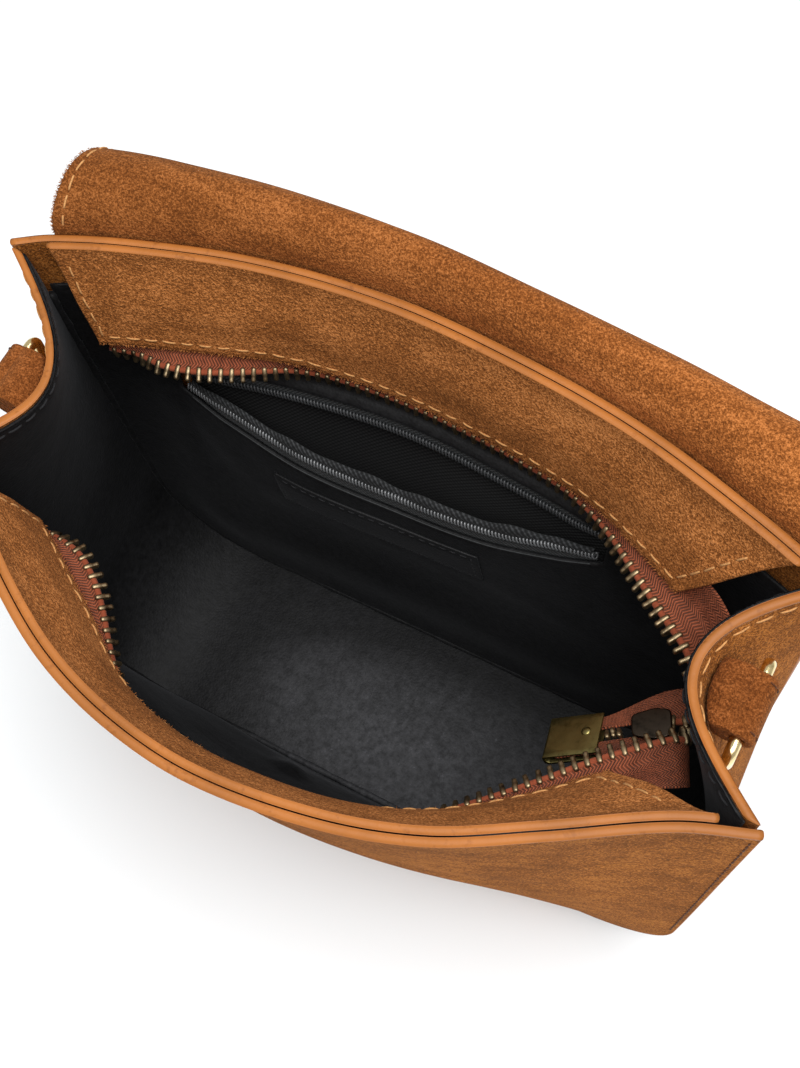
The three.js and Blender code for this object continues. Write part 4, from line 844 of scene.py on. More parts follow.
def build_facing(name, side, node, seed):
    a = np.linspace(-1, 1, 181)[None, :]
    b = np.sort(np.append(np.linspace(0, 1, 27), np.array([0.25, 0.7]) / FACING_WIDTH))[:, None]
    points = facing_point(side, a, b)
    normals = surface_normals(points)
    if np.mean(normals[..., 1]) * side.y > 0:
        normals = -normals
    piece = sheet(name, points, points + normals * FACING, [suede_facing, paint], steps=4,
                  edge=(1, 0, 0, 0), wrap=(2, 0, 0, 0))
    dress(piece, node)
    top = points + normals * FACING
    run_a = np.linspace(-0.972, 0.955, 320)
    inset_b = 1 - FACING_INSET / FACING_WIDTH
    corner = np.concatenate([
        [(-0.972, k) for k in np.linspace(0.2, inset_b, 40)[:-1]],
        [(a_, inset_b) for a_ in run_a],
        [(0.955, k) for k in np.linspace(inset_b, 0.2, 40)[1:]],
    ])
    def on_top(a_, b_):
        i = np.interp(b_, b[:, 0], np.arange(len(b)))
        j = (a_ + 1) / 2 * (points.shape[1] - 1)
        i0 = np.clip(i.astype(int), 0, points.shape[0] - 2)
        j0 = np.clip(j.astype(int), 0, points.shape[1] - 2)
        ki, kj = (i - i0)[:, None], (j - j0)[:, None]
        def pick(g):
            return ((g[i0, j0] * (1 - kj) + g[i0, j0 + 1] * kj) * (1 - ki)
                    + (g[i0 + 1, j0] * (1 - kj) + g[i0 + 1, j0 + 1] * kj) * ki)
        return pick(top), unit(pick(normals))
    curve, curve_normals = on_top(corner[:, 0], corner[:, 1])
    sunk = (corner[:, 0] > -0.42) & (corner[:, 0] < 0.4) & (side.y < 0)
    ends = [0, *(np.flatnonzero(np.diff(sunk)) + 1), len(sunk)]
    for k, (first, last) in enumerate(zip(ends, ends[1:])):
        stitches(f"{name}_stitches_{k}", curve[first:last], curve_normals[first:last], thread_light,
                 lift=-0.2 if sunk[first] else 0.1, seed=seed + k, **LONG_STITCH)
    fuzz(name + "_fuzz", points[-1] + normals[-1] * FACING, unit(points[-1] - points[-3]),
         normals[-1], suede_fuzz, 18, 1.05, seed + 60)


build_facing("front_strip", FRONT, "front_facing", 3)
build_facing("back_strip", BACK, "back_facing", 4)


# The gusset and its lining

def seam_point(side, stops, inward):
    hand, height, angle, base = stops
    radius = CORNER_RADIUS
    level = np.where(height > 0, height, radius * (1 - np.sin(angle)))
    width = mix(BASE_WIDTH, side.top, level / BAG_HEIGHT) / 2
    reach = (radius - inward) * np.cos(angle)
    x = np.where(hand == 0, base * (BASE_WIDTH / 2 - radius), hand * (width - radius + reach))
    corner_z = radius - (radius - inward) * np.sin(angle)
    z = np.where(hand == 0, inward, np.where(height > 0, height, corner_z))
    up = z / BAG_HEIGHT
    return points3(x + side.shift * up, side.y * mix(BASE_DEPTH, TOP_DEPTH, up) / 2, z)


def fold_depth(hand, up):
    rise = np.maximum(0, (up - FOLD_START) / (1 - FOLD_START)) ** 1.5
    return np.where(hand < 0, LEFT_FOLD, RIGHT_FOLD) * rise * (hand != 0)


def gusset_points(stops, across, inward, clear):
    hand, height, angle, base = [s[:, None] for s in stops]
    up = height / BAG_HEIGHT * (hand != 0)
    depth = fold_depth(hand, up)
    whole = mix(BASE_DEPTH, TOP_DEPTH, up)
    most = 1 - 2 * clear / whole
    share = np.clip(across[None, :], -most, most)
    turn = np.pi / 2 * share
    slope = depth * np.pi * np.sin(turn) / whole
    cells = (hand, height, angle, base)
    front, back = seam_point(FRONT, cells, 0.0), seam_point(BACK, cells, 0.0)
    in_front = seam_point(FRONT, cells, 1.0) - front
    in_back = seam_point(BACK, cells, 1.0) - back
    k = ((share + 1) / 2)[..., None]
    reach = (inward * np.sqrt(1 + slope ** 2))[..., None]
    point = mix(front, back, k) + mix(in_front, in_back, k) * reach
    fold = depth * np.cos(turn)
    point[..., 0] -= hand * fold
    point[..., 2] -= FOLD_SAG * (fold / RIGHT_FOLD) ** 2
    return point


def gusset_stops(leg, arc, base):
    down = mix(BAG_HEIGHT, CORNER_RADIUS, np.arange(leg) / leg)
    down = np.sort(np.append(down, BAG_HEIGHT - np.array([0.25, 0.8])))[::-1]
    leg = len(down)
    turn = np.arange(arc + 1) / arc * np.pi / 2
    flat = mix(-1, 1, np.arange(1, base) / base)
    hand = np.concatenate([-np.ones(leg + arc + 1), np.zeros(base - 1), np.ones(leg + arc + 1)])
    height = np.concatenate([down, np.zeros(2 * arc + base + 1), down[::-1]])
    angle = np.concatenate([np.zeros(leg), turn, np.zeros(base - 1), turn[::-1], np.zeros(leg)])
    middle = np.concatenate([np.zeros(leg + arc + 1), flat, np.zeros(leg + arc + 1)])
    return hand, height, angle, middle


STOPS = gusset_stops(70, 18, 40)
gusset_across = np.linspace(-1, 1, 49)
piece = sheet("side_wall", gusset_points(STOPS, gusset_across, 0.0, GAP),
              gusset_points(STOPS, gusset_across, SUEDE, GAP), [suede, paint], steps=4,
              edge=(1, 0, 1, 0), wrap=(2, 0, 2, 0))
dress(piece, "gusset")
lining_clear = 0.0  # the source leaves a gap; here the lining meets the panels
hand, height, angle, middle = STOPS
lining_stops = (hand, np.minimum(height, BAG_HEIGHT - 1.4), angle, middle)
inside = (SUEDE + 0.7 + (GAP + LINING - 0.7) * smooth((BAG_HEIGHT - height) / 9))[:, None]
piece = sheet("side_lining", gusset_points(lining_stops, gusset_across, SUEDE + 0.05, lining_clear),
              gusset_points(lining_stops, gusset_across, inside, lining_clear), lining, round_=0.6)
dress(piece, "lining_gusset")

# The linings' turned seams, a soft black roll down each side and along the base
for side, first in ((FRONT, "front"), (BACK, "back")):
    hand, height, angle, base = STOPS
    up = height / BAG_HEIGHT
    keep = height < BAG_HEIGHT - LINING_DROP - 1
    stop = tuple(v[keep] for v in STOPS)
    corner = np.array([-0.985 if side.y < 0 else 0.985])
    path = gusset_points(stop, corner, SUEDE + GAP + LINING + 0.5, lining_clear)[:, 0]
    waver = np.arange(len(path))
    width = 1.0 + 0.12 * np.sin(waver * 0.9) + 0.08 * np.sin(waver * 2.3)
    vertices, faces = tube(path, width, 10, normal=(0.03, 1, 0.02))
    make(f"seam_roll_{first}", vertices, faces, lining)

# Stitches near the gusset's two top ends, on both its faces
for hand, first, seed in ((-1, 0, 5), (1, len(STOPS[0]) - 1, 6)):
    depth_down = 3.0
    stop = tuple(np.array([v]) for v in (hand, BAG_HEIGHT - depth_down, 0.0, 0.0))
    run = np.linspace(-0.93, 0.93, 80)
    inside = gusset_points(stop, run, SUEDE + GAP + LINING, lining_clear)[0]
    outside = gusset_points(stop, run, 0.0, GAP)[0]
    level = unit(np.cross(np.gradient(inside, axis=0), np.array([0, 0, 1.0])))
    level = np.where(level[:, :1] * hand > 0, -level, level)
    stitches(f"side_stitches_in_{first}", inside, level, thread_black, pitch=4.4, length=3.2, seed=seed)
    stitches(f"side_stitches_out_{first}", outside, -level, thread_light, pitch=5.2, length=4.2,
             seed=seed + 10)


# The linings

def lining_at(side, across, up, off):
    inset = SUEDE + 3 * GAP
    across, up, off = np.broadcast_arrays(np.asarray(across, float), np.asarray(up, float), off)
    fold = np.maximum(fold_depth(np.array(-1.0), up), fold_depth(np.array(1.0), up)) / RIGHT_FOLD
    height = np.maximum(up * BAG_HEIGHT, inset)
    whole = half_width(side, height)
    width = half_width(side, height, inset) - FOLD_ROOM * fold
    share = across * width / whole
    normal = flat_at_edges(side, share, height / BAG_HEIGHT)
    return panel_point(side, share, height / BAG_HEIGHT) + normal * off[..., None], normal


LINING_CREASES = ((-0.35, 0.45, 0.5, 0.05, 14, 0.9), (0.3, 0.4, 0.4, 0.045, -12, 0.8),
                  (0.05, 0.62, 0.6, 0.04, 3, 0.6), (-0.7, 0.55, 0.25, 0.05, -40, 0.8),
                  (0.65, 0.5, 0.3, 0.05, 35, 0.7))


def front_lining_off(across, up):
    low = smooth(up / 0.16) * (1 - smooth((up - 0.2) / 0.35))
    middle = 1 - smooth((np.abs(across - MAGNET_SHARE) - 0.25) / 0.6)
    return LINING_OFF + FRONT_LOOSE * low * middle


across = np.linspace(-1, 1, 121)[None, :]
ups = (panel_ups(16, 60) * (1 - LINING_DROP / BAG_HEIGHT))[:, None]
off = front_lining_off(across, ups) + dents(LINING_CREASES, across, ups) * 0.5 * smooth(ups / 0.1)
away = np.hypot((across - MAGNET_SHARE) * 97, (ups * BAG_HEIGHT - MAGNET_HEIGHT)) / MAGNET_RADIUS
off = off + 1.7 * (1 - smooth(away / 1.15))
points, normals = lining_at(FRONT, across, ups, off)
piece = sheet("front_lining", points, points + normals * LINING, lining, round_=0.6)
dress(piece, "lining_front")


def pocket_fade(across):
    beyond = np.maximum(np.maximum(POCKET_FIRST - across, across - POCKET_LAST), 0)
    return 1 - smooth(beyond / 0.2)


def lip_height(column, across):
    return BAG_HEIGHT - POCKET_DROP * POCKET_LIPS(across, column)


def back_lining_off(across, height):
    lip = lip_height(1, across)
    fade = pocket_fade(across)
    lip_off = POCKET_SAG * POCKET_LIPS(across, 2) * fade
    low = POCKET_LOW_HEIGHT
    base = LINING_OFF + POCKET_ROOM * fade * smooth((height - POCKET_RISE) / (low - 1.5 * POCKET_RISE))
    under = base + np.maximum(0, lip_off - base) * smooth((height - low) / (lip - low))
    above = height - lip_height(0, across)
    upper = np.maximum(LINING_OFF, POCKET_ROOM * fade * (1 - smooth((above - POCKET_HOLD) / POCKET_EASE)))
    return np.where(height <= lip + 0.01, under, upper)


shares = np.concatenate([np.linspace(-1, POCKET_FIRST, 14)[:-1], np.linspace(POCKET_FIRST, POCKET_LAST, 91),
                         np.linspace(POCKET_LAST, 1, 26)[1:]])
low_rows = [np.full_like(shares, h)
            for h in POCKET_LOW_HEIGHT * (1 - np.cos(np.linspace(0, np.pi / 2, 16)))]
lip_rows = [mix(POCKET_LOW_HEIGHT, lip_height(1, shares), k) for k in np.linspace(0, 1, 26)[1:]]
top_rows = [lip_height(0, shares) + k
            for k in (0, 0.5, POCKET_HOLD, POCKET_HOLD + POCKET_EASE / 2, POCKET_HOLD + POCKET_EASE)]
top_rows += [mix(top_rows[-1], BAG_HEIGHT - LINING_DROP, k) for k in np.linspace(0, 1, 8)[1:]]
heights = np.array(low_rows + lip_rows + top_rows)
slot_row = len(low_rows) + len(lip_rows) - 1
across = np.broadcast_to(shares, heights.shape)
off = back_lining_off(across, heights)
crease = dents(LINING_CREASES, across, heights / BAG_HEIGHT) * 0.6
off = off + np.maximum(crease, -0.2) * smooth(heights / 16) * smooth((lip_height(1, across) - heights) / 12)
points, normals = lining_at(BACK, across, heights / BAG_HEIGHT, off)
hole = np.zeros((heights.shape[0] - 1, heights.shape[1] - 1), bool)
hole[slot_row] = (shares[:-1] >= POCKET_FIRST - 1e-6) & (shares[1:] <= POCKET_LAST + 1e-6)
piece = sheet("back_lining", points, points + normals * LINING, lining, round_=0.6, skip=hole)
dress(piece, "lining_back")


# The pocket

def pocket_front(across, height):
    return back_lining_off(across, height) - 3 * GAP - POCKET_TAPE


def pocket_sheet():
    first, last = POCKET_FIRST + 0.01, POCKET_LAST - 0.01
    a = np.linspace(first, last, 91)
    behind = np.full_like(a, GAP + 0.05)
    low = np.full_like(a, POCKET_LOW_HEIGHT)
    lower, upper = lip_height(1, a), lip_height(0, a)
    bottom = pocket_front(a, low + 1.2 * POCKET_TURN)
    heights, offs = [], []
    for k in np.linspace(1, 0, 24):
        heights.append(mix(low + POCKET_TURN, upper + POCKET_HOLD * 0.8, k))
        offs.append(behind)
    for t in np.linspace(0, np.pi, 8)[1:-1]:
        heights.append(low + POCKET_TURN - POCKET_TURN * 0.66 * np.sin(t))
        offs.append(mix(behind, bottom, (1 - np.cos(t)) / 2))
    for k in np.linspace(0, 1, 24):
        h = mix(low + POCKET_TURN, lower, k)
        heights.append(h)
        offs.append(np.where(k * 60 < 1, bottom, pocket_front(a, h)))
    heights, offs = np.array(heights), np.array(offs)
    wave = 0.9 * np.sin(a * 9.0)[None, :] * np.sin(heights / 13.0) * smooth((heights - 50) / 30)
    offs = offs + np.maximum(wave, -0.2) * (np.arange(len(heights)) < 20)[:, None]
    points, _ = lining_at(BACK, np.broadcast_to(a, heights.shape), heights / BAG_HEIGHT, offs)
    return points


pocket_points = pocket_sheet()
piece = sheet_on("pocket_inside", pocket_points, 0.0, -POCKET_SHEET, pocket_twill_painted_shade, round_=0.5)
dress(piece, "pocket_bag")


def pocket_zip(name, node, hand, coil_material):
    first, last = POCKET_FIRST + 0.02, POCKET_LAST - 0.02
    a = np.linspace(first, last, 240)
    lip = lip_height(1 if hand > 0 else 0, a)
    ease = smooth(np.minimum(a - first, last - a) / 0.1)
    off = back_lining_off(a, lip) - 2 * GAP - POCKET_TAPE / 2
    def at(s, n):
        s = np.broadcast_to(s, a.shape)
        stretch = np.where(s > 0, mix(0.55, 1, ease), 1)
        point, normal = lining_at(BACK, a, (lip + hand * s * stretch) / BAG_HEIGHT, off * 0)
        return point + normal * (off + n)[:, None]
    rows = np.array([at(s, -POCKET_TAPE / 2) for s in np.linspace(-1.2, 5.4, 9)])
    front_rows = np.array([at(s, POCKET_TAPE / 2) for s in np.linspace(-1.2, 5.4, 9)])
    tape = sheet(name, rows, front_rows, pocket_tape, round_=0.4)
    dress(tape, node)
    centre = at(5.0, 0.9)
    tangent = unit(np.gradient(centre, axis=0))
    normal = unit(at(5.0, 1.9) - centre)
    side = unit(np.cross(normal, tangent))
    length = run_length(centre)
    turns = length[-1] / 0.95
    count = int(turns * 8)
    places = np.linspace(0, length[-1], count)
    index = np.interp(places, length, np.arange(len(centre)))
    angle = np.linspace(0, turns * 2 * np.pi, count)
    path = (read_curve(centre, index) + read_curve(side, index) * (1.15 * np.cos(angle))[:, None]
            + read_curve(normal, index) * (0.62 * np.sin(angle))[:, None])
    vertices, faces = tube(path, 0.27, 5, normal=(0.31, 0.2, 0.93))
    coil = make(name + "_coil", vertices, faces, coil_material)
    cord, cord_faces = tube(centre[::2] - normal[::2] * 0.1, 0.34, 6)
    make(name + "_cord", cord, cord_faces, pocket_tape)
    return at


pocket_zip("pocket_tape_upper", "pocket_zip_upper", -1, coil_painted_shade.material)
pocket_zip("pocket_tape_lower", "pocket_zip_lower", 1, coil_painted_light.material)

# The folded edge of twill along the lower lip, with its waves
a = np.linspace(POCKET_FIRST + 0.03, POCKET_LAST - 0.03, 200)
lip = lip_height(1, a)
ripple = 0.6 * np.sin(a * 29) + 0.4 * np.sin(a * 47 + 1.0)
base_off = back_lining_off(a, lip)
binding = []
fold_ease = smooth(np.minimum(a - a[0], a[-1] - a) / 0.12)
for s, n in ((3.9, -0.3), (5.3, 0.1), (6.6, 0.6), (8.0, 0.8), (8.9, 0.4), (9.1, -0.5)):
    rise = s * (1 + 0.2 * ripple * smooth((s - 5) / 3))
    point, normal = lining_at(BACK, a, (lip + rise * mix(0.6, 1.0, fold_ease)) / BAG_HEIGHT, base_off * 0)
    binding.append(point + normal * (base_off - 0.4 + n + ripple * 0.6 * smooth((s - 4) / 3))[:, None])
piece = sheet_on("pocket_binding", np.array(binding), 0.0, -0.5, pocket_fold_painted_light, round_=0.5)

point, normal = lining_at(BACK, a, (lip - 0.4) / BAG_HEIGHT, base_off * 0)
vertices, faces = tube(point + normal * (base_off + 0.75)[:, None], 0.32, 6)
make("pocket_lip_cord", vertices, faces, pocket_tape)

# The bare patch, with a puffed edge and its own stitches
pa = np.linspace(PATCH_LEFT, PATCH_RIGHT, 60)[None, :]
ph = np.linspace(BAG_HEIGHT - PATCH_DROP - PATCH_HEIGHT, BAG_HEIGHT - PATCH_DROP, 22)[:, None]
edge_in = np.minimum(np.minimum((pa - PATCH_LEFT), (PATCH_RIGHT - pa)) * 97,
                     np.minimum(ph - ph[0], ph[-1] - ph))
puff = 0.35 * smooth(edge_in / 2.4)
dip = 0.25 * np.exp(-((edge_in - PATCH_INSET) / 0.5) ** 2)
off = back_lining_off(pa, ph) + LINING + GAP + puff - dip
points, normals = lining_at(BACK, pa, ph / BAG_HEIGHT, off)
piece = sheet("inner_leather_patch", points, points + normals * PATCH_THICKNESS, leather_black,
              round_=0.8, steps=3)
dress(piece, "inner_patch")
first, last = PATCH_LEFT + 0.018, PATCH_RIGHT - 0.018
high, low = float(ph[-1, 0]) - PATCH_INSET, float(ph[0, 0]) + PATCH_INSET
loop_a = np.concatenate([np.linspace(first, last, 90), np.full(30, last),
                         np.linspace(last, first, 90), np.full(30, first)])
loop_h = np.concatenate([np.full(90, high), np.linspace(high, low, 30),
                         np.full(90, low), np.linspace(low, high, 30)])
off = back_lining_off(loop_a, loop_h) + LINING + GAP + PATCH_THICKNESS
points, normals = lining_at(BACK, loop_a, loop_h / BAG_HEIGHT, off)
stitches("patch_stitches", points, normals, thread_black, seed=8, **TIGHT_STITCH)


# The main zip

def turn_points(rows):
    middle = (FRONT_TOP_WIDTH + BACK_TOP_WIDTH) / 4 + FRONT_TOP_SHIFT / 2
    scale = np.array([middle - RIGHT_FOLD, TOP_DEPTH / 2, BAG_HEIGHT])
    rows = np.array(rows)
    return rows[:, :3] * scale, rows[:, 3:] * scale


def tape_curves(side):
    """The toothed edge, the bend under the facing and the outer edge of a tape."""
    middle = GAP + TAPE / 2
    across = np.linspace(TAPE_START, side.tape_end, 23)
    top, turned, toothed = FACING_WIDTH - TAPE_BEHIND, FACING_WIDTH + TAPE_TUCK, FACING_WIDTH + TAPE_SHOWS
    low = facing_off(side, across, FACING_WIDTH) - middle
    reach = STAND_OFF * np.maximum(0, side.reach(across))
    tooth = hang(side, across, toothed, low + reach)
    bend = hang(side, across, turned, low)
    edge = hang(side, across, top, facing_off(side, across, top) - middle)
    turn_tooth, turn_edge = turn_points(side.turn)
    turn_bend = mix(turn_tooth, turn_edge, (TAPE_SHOWS - TAPE_TUCK) / (TAPE_SHOWS + TAPE_BEHIND))
    whole = [np.concatenate(pair) for pair in ((tooth, turn_tooth), (bend, turn_bend), (edge, turn_edge))]
    both = spline(np.concatenate(whole, axis=1), 460)
    return both[:, :3], both[:, 3:6], both[:, 6:]


def tooth_solid():
    """One tooth: two legs clamped on the tape's cord and a narrow head past it.
    X runs along the zip, Y out past the tape and Z is the thickness."""
    rows = ((-1.45, 0.2, 0.6), (-1.35, 0.52, 1.0), (-0.9, 0.66, 1.18), (-0.1, 0.7, 1.22), (0.5, 0.7, 1.18),
            (0.85, 0.62, 1.05), (1.3, 0.56, 0.95), (1.9, 0.6, 0.95), (2.35, 0.54, 0.8), (2.55, 0.22, 0.35))
    rings = []
    for y, w, t in rows:
        ring = []
        for k in range(12):
            angle = 2 * math.pi * k / 12
            c, s = math.cos(angle), math.sin(angle)
            ring.append([w * math.copysign(abs(c) ** 0.5, c), y, t * math.copysign(abs(s) ** 0.5, s)])
        rings.append(ring)
    return loft(rings)


def zip_row(name, side, tape_node, teeth_node, teeth_end, seed):
    tooth, bend, edge = tape_curves(side)
    count = len(tooth)
    tangent = unit(np.gradient(tooth + edge, axis=0))
    outward_ = unit(tooth - bend)
    normal = unit(np.cross(tangent, outward_))
    upper = unit(np.cross(tangent, bend - edge))
    flip = -1.0 if np.mean(normal[:200, 1]) * side.y > 0 else 1.0
    normal, upper = normal * flip, upper * flip
    along = run_length((tooth + edge) / 2)
    ripple = 0.3 * np.sin(along / 5.2) + 0.2 * np.sin(along / 2.9)
    rows, normals = [], []
    for k in np.linspace(0, 1, 6)[:-1]:
        rows.append(mix(edge, bend, k * 0.8) + upper * (ripple * 0.2)[:, None])
        normals.append(upper)
    start, finish = mix(edge, bend, 0.8), mix(bend, tooth, 0.35)
    for k in np.linspace(0, 1, 6):
        rows.append((1 - k) ** 2 * start + 2 * k * (1 - k) * bend + k * k * finish)
        normals.append(unit(mix(upper, normal, k)))
    for k in np.linspace(0.35, 1, 6)[1:]:
        lifted = ripple * math.sin(math.pi * (k - 0.35) / 0.65) * 0.6
        rows.append(mix(bend, tooth, k) + normal * lifted[:, None])
        normals.append(normal)
    rows, normals = np.array(rows), np.array(normals)
    piece = sheet(name + "_tape", rows - normals * TAPE / 2, rows + normals * TAPE / 2, tape_look)
    dress(piece, tape_node)
    stop = int(count * teeth_end)
    path = tooth[:stop] + outward_[:stop] * 0.15
    cord, cord_faces = tube(path[::2], 0.8, 10, normal=(0.1, 0.2, 0.97))
    make(name + "_cord", cord, cord_faces, bead_look)
    rng = np.random.default_rng(seed)
    index = along_curve(path, 2.75, 1.5, 0.5)
    places = read_curve(path, index)
    direction = unit(read_curve(unit(np.gradient(path, axis=0)), index))
    out = unit(read_curve(outward_[:stop], index))
    out = unit(out - direction * np.sum(out * direction, axis=1, keepdims=True))
    up = np.cross(direction, out)
    lean = rng.normal(0, 0.05, len(index))[:, None]
    direction, out = unit(direction + out * lean), unit(out - direction * lean)
    vertices, faces = tooth_solid()
    solid, solid_faces = copies(vertices, faces, places + out * 0.2, direction, out, up)
    piece = make(name + "_teeth", solid, solid_faces, teeth_metal)
    dress(piece, teeth_node)


zip_row("main_zip_front", FRONT, "zip_tape_front", "zip_teeth_front", 0.915, 21)
zip_row("main_zip_back", BACK, "zip_tape_back", "zip_teeth_back", 0.915, 22)


def tail_frame(low, high, row):
    """Axes on the tapes' tail, as in the part: along towards the turn, across to the back."""
    front, front_edge = turn_points(FRONT_TURN)
    back, back_edge = turn_points(BACK_TURN)
    middle = (front + back) / 2
    along = unit(middle[high] - middle[low])
    across_ = back_edge[row] - front_edge[row]
    up = unit(np.cross(along, across_))
    return middle, along, unit(np.cross(up, along)), up


def placed(vertices, origin, x, y, z):
    vertices = np.asarray(vertices)
    return origin + vertices[:, 0:1] * x + vertices[:, 1:2] * y + vertices[:, 2:3] * z


def rounded_plate(outline, low, high, round_, steps=3):
    """A plate of any outline with rounded rims, as (vertices, faces)."""
    outline = np.asarray(outline, float)
    centre = outline.mean(axis=0)
    rings = []
    for k in range(steps + 1):
        t = math.pi / 2 * k / steps
        inset, z = round_ * (1 - math.sin(t)), low + round_ * (1 - math.cos(t))
        rings.append((inset, z))
    for k in range(steps + 1):
        t = math.pi / 2 * (1 - k / steps)
        rings.append((round_ * (1 - math.sin(t)), high - round_ * (1 - math.cos(t))))
    out = []
    for inset, z in rings:
        ring = outline - unit(outline - centre) * inset
        out.append(np.column_stack([ring, np.full(len(ring), z)]))
    return loft(out)


def rounded_outline(points, radius, steps=5):
    """Rounds the corners of a convex outline."""
    points = np.asarray(points, float)
    out = []
    n = len(points)
    for i in range(n):
        p, a, b = points[i], points[i - 1], points[(i + 1) % n]
        ta, tb = unit(a - p), unit(b - p)
        for k in np.linspace(0, 1, steps):
            start, end = p + ta * radius, p + tb * radius
            out.append((1 - k) ** 2 * start + 2 * k * (1 - k) * p + k ** 2 * end)
    return out


middle, along, across_, up = tail_frame(4, 2, 3)
outline = rounded_outline([(-4.5, -2.6), (0.8, -4.0), (4.4, -3.3),
                           (4.4, 3.3), (0.8, 4.0), (-4.5, 2.6)], 1.3)
parts = [rounded_plate(outline, 1.4, 2.4, 0.45), rounded_plate(outline, -2.4, -1.4, 0.45)]
parts.append(rounded_plate([(0.9, 0), (2.7, -0.9), (4.3, 0), (2.7, 0.9)], -1.6, 1.6, 0.05))
vertices, faces = joined(parts)
piece = make("zip_slider_body", placed(vertices, middle[3], along, across_, up), faces, slider_metal)
dress(piece, "zip_slider")

middle, along, across_, up = tail_frame(5, 4, 4)
half, out = CLAMP_WIDTH / 2, 1.45
shell = []
for y in np.linspace(-half, half, 9):
    fall = 0.12 * (2 * y / CLAMP_WIDTH) ** 2
    profile = [(0.0, 0.85), (0.0, out - 0.1 - fall), (-0.2, out - fall), (-3.5, out - 0.05 - fall),
               (-7.5, out - 0.1 - fall), (0.7 - CLAMP_LENGTH, out - 0.12 - fall),
               (0.18 - CLAMP_LENGTH, out - 0.45), (-CLAMP_LENGTH, 0.5), (-CLAMP_LENGTH, -0.5),
               (0.18 - CLAMP_LENGTH, 0.45 - out), (0.7 - CLAMP_LENGTH, -out), (-0.2, -out),
               (0.0, 0.1 - out), (0.0, -0.85), (1.2 - CLAMP_LENGTH, -0.85),
               (0.65 - CLAMP_LENGTH, -0.3), (0.65 - CLAMP_LENGTH, 0.3), (1.2 - CLAMP_LENGTH, 0.85)]
    shell.append([(x, y, z) for x, z in profile])
parts = [loft(shell)]
rivet = [(0.0, 0.45), (0.5, 0.42), (0.85, 0.3), (1.15, 0.1), (1.25, -0.3)]
rings = [[(-3.5 + max(r, 0.02) * math.cos(t), 0.6 + max(r, 0.02) * math.sin(t), out + z)
          for t in np.linspace(0, 2 * math.pi, 19)[:-1]] for r, z in rivet]
parts.append(loft(rings))
vertices, faces = joined(parts)
piece = make("zip_end_plate", placed(vertices, middle[4], along, across_, up), faces, clamp_metal)
bevel = piece.modifiers.new("bevel", "BEVEL")
bevel.width = 0.00012
bevel.segments = 2
bevel.limit_method = "ANGLE"
dress(piece, "zip_end_clamp")

# Closed teeth between the clamp and the slider: the two rows in turn
start, end = middle[4], middle[3]
run = unit(end - start)
length = np.linalg.norm(end - start) - 4.5 - 1.8
closed_pitch = 1.35
vertices, faces = tooth_solid()
small = np.array(vertices) * np.array([0.8, 0.62, 0.85])
count = int(length / closed_pitch)
origins = start + run * (1.2 + np.arange(count) * closed_pitch)[:, None]
hands = np.where(np.arange(count) % 2 == 0, 1.0, -1.0)[:, None]
ys = unit(np.cross(up, run))[None, :] * hands
solid, solid_faces = copies(small, faces, origins - ys * 0.5, np.tile(run, (count, 1)), ys,
                            np.tile(up, (count, 1)) * hands)
piece = make("closed_teeth", solid, solid_faces, teeth_metal)
dress(piece, "zip_teeth_closed")


# The flap

FLAP_LINES = ((-0.3, 0.2, 0.9, 0.011, 2, 0.35), (0.55, 0.235, 0.5, 0.012, -3, 0.4),
              (0.75, 0.3, 0.35, 0.014, 4, 0.45), (-0.75, 0.16, 0.3, 0.012, -5, 0.3))


def flap_half(run):
    below = np.maximum(0, FLAP_CORNER - FLAP_LENGTH * (1 - run))
    return FLAP_HALF_WIDTH - FLAP_CORNER + np.sqrt(np.maximum(0, FLAP_CORNER ** 2 - below ** 2))


def flap_at(x, run):
    """A point of the flap's inner face, which is the one that shows."""
    share = x / (BACK_TOP_WIDTH / 2)
    rise = FLAP_ARCH * FLAP_RUN(run, 1) - FLAP_LENGTH * FLAP_RUN(run, 2)
    depth = FLAP_ARCH_DEPTH * FLAP_REACH(x / FLAP_HALF_WIDTH)
    seated = np.where(run < FLAP_SEATED, np.maximum(0, -rise), 0)
    point = hang(BACK, share, seated, -(SUEDE + 2 * GAP) * np.ones_like(share))
    rim = panel_point(BACK, share, np.ones_like(share))
    wave = (0.9 * np.sin(x / 17 + run * 5) + 0.5 * np.sin(x / 9 - run * 11)) * smooth((run - 0.3) / 0.4)
    lines = dents(FLAP_LINES, x / FLAP_HALF_WIDTH, run)
    return points3(x, point[..., 1] + depth * FLAP_RUN(run, 0) + wave - lines, rim[..., 2] + rise)


def flap_normals(x, run):
    step = 0.002
    over = flap_at(x, np.minimum(run + step, 0.9985)) - flap_at(x, np.maximum(run - step, 0))
    beside = flap_at(x + 0.2, run) - flap_at(x - 0.2, run)
    return unit(np.cross(beside, over))


corner_run = FLAP_CORNER / FLAP_LENGTH
runs = np.concatenate([np.linspace(0, 0.3, 50), np.linspace(0.3, 1 - corner_run, 40)[1:],
                       1 - corner_run * (1 - np.sin(np.linspace(0, 0.97, 20) * np.pi / 2))[1:]])
aa, rr = np.meshgrid(np.linspace(-1, 1, 171), runs)
points = flap_at(aa * flap_half(rr), rr)
normals = flap_normals(aa * flap_half(rr), rr)
flap_piece = sheet("flap_sheet", points, points - normals * FLAP_THICKNESS, suede_flap, round_=0.7, steps=4)
dress(flap_piece, "flap")

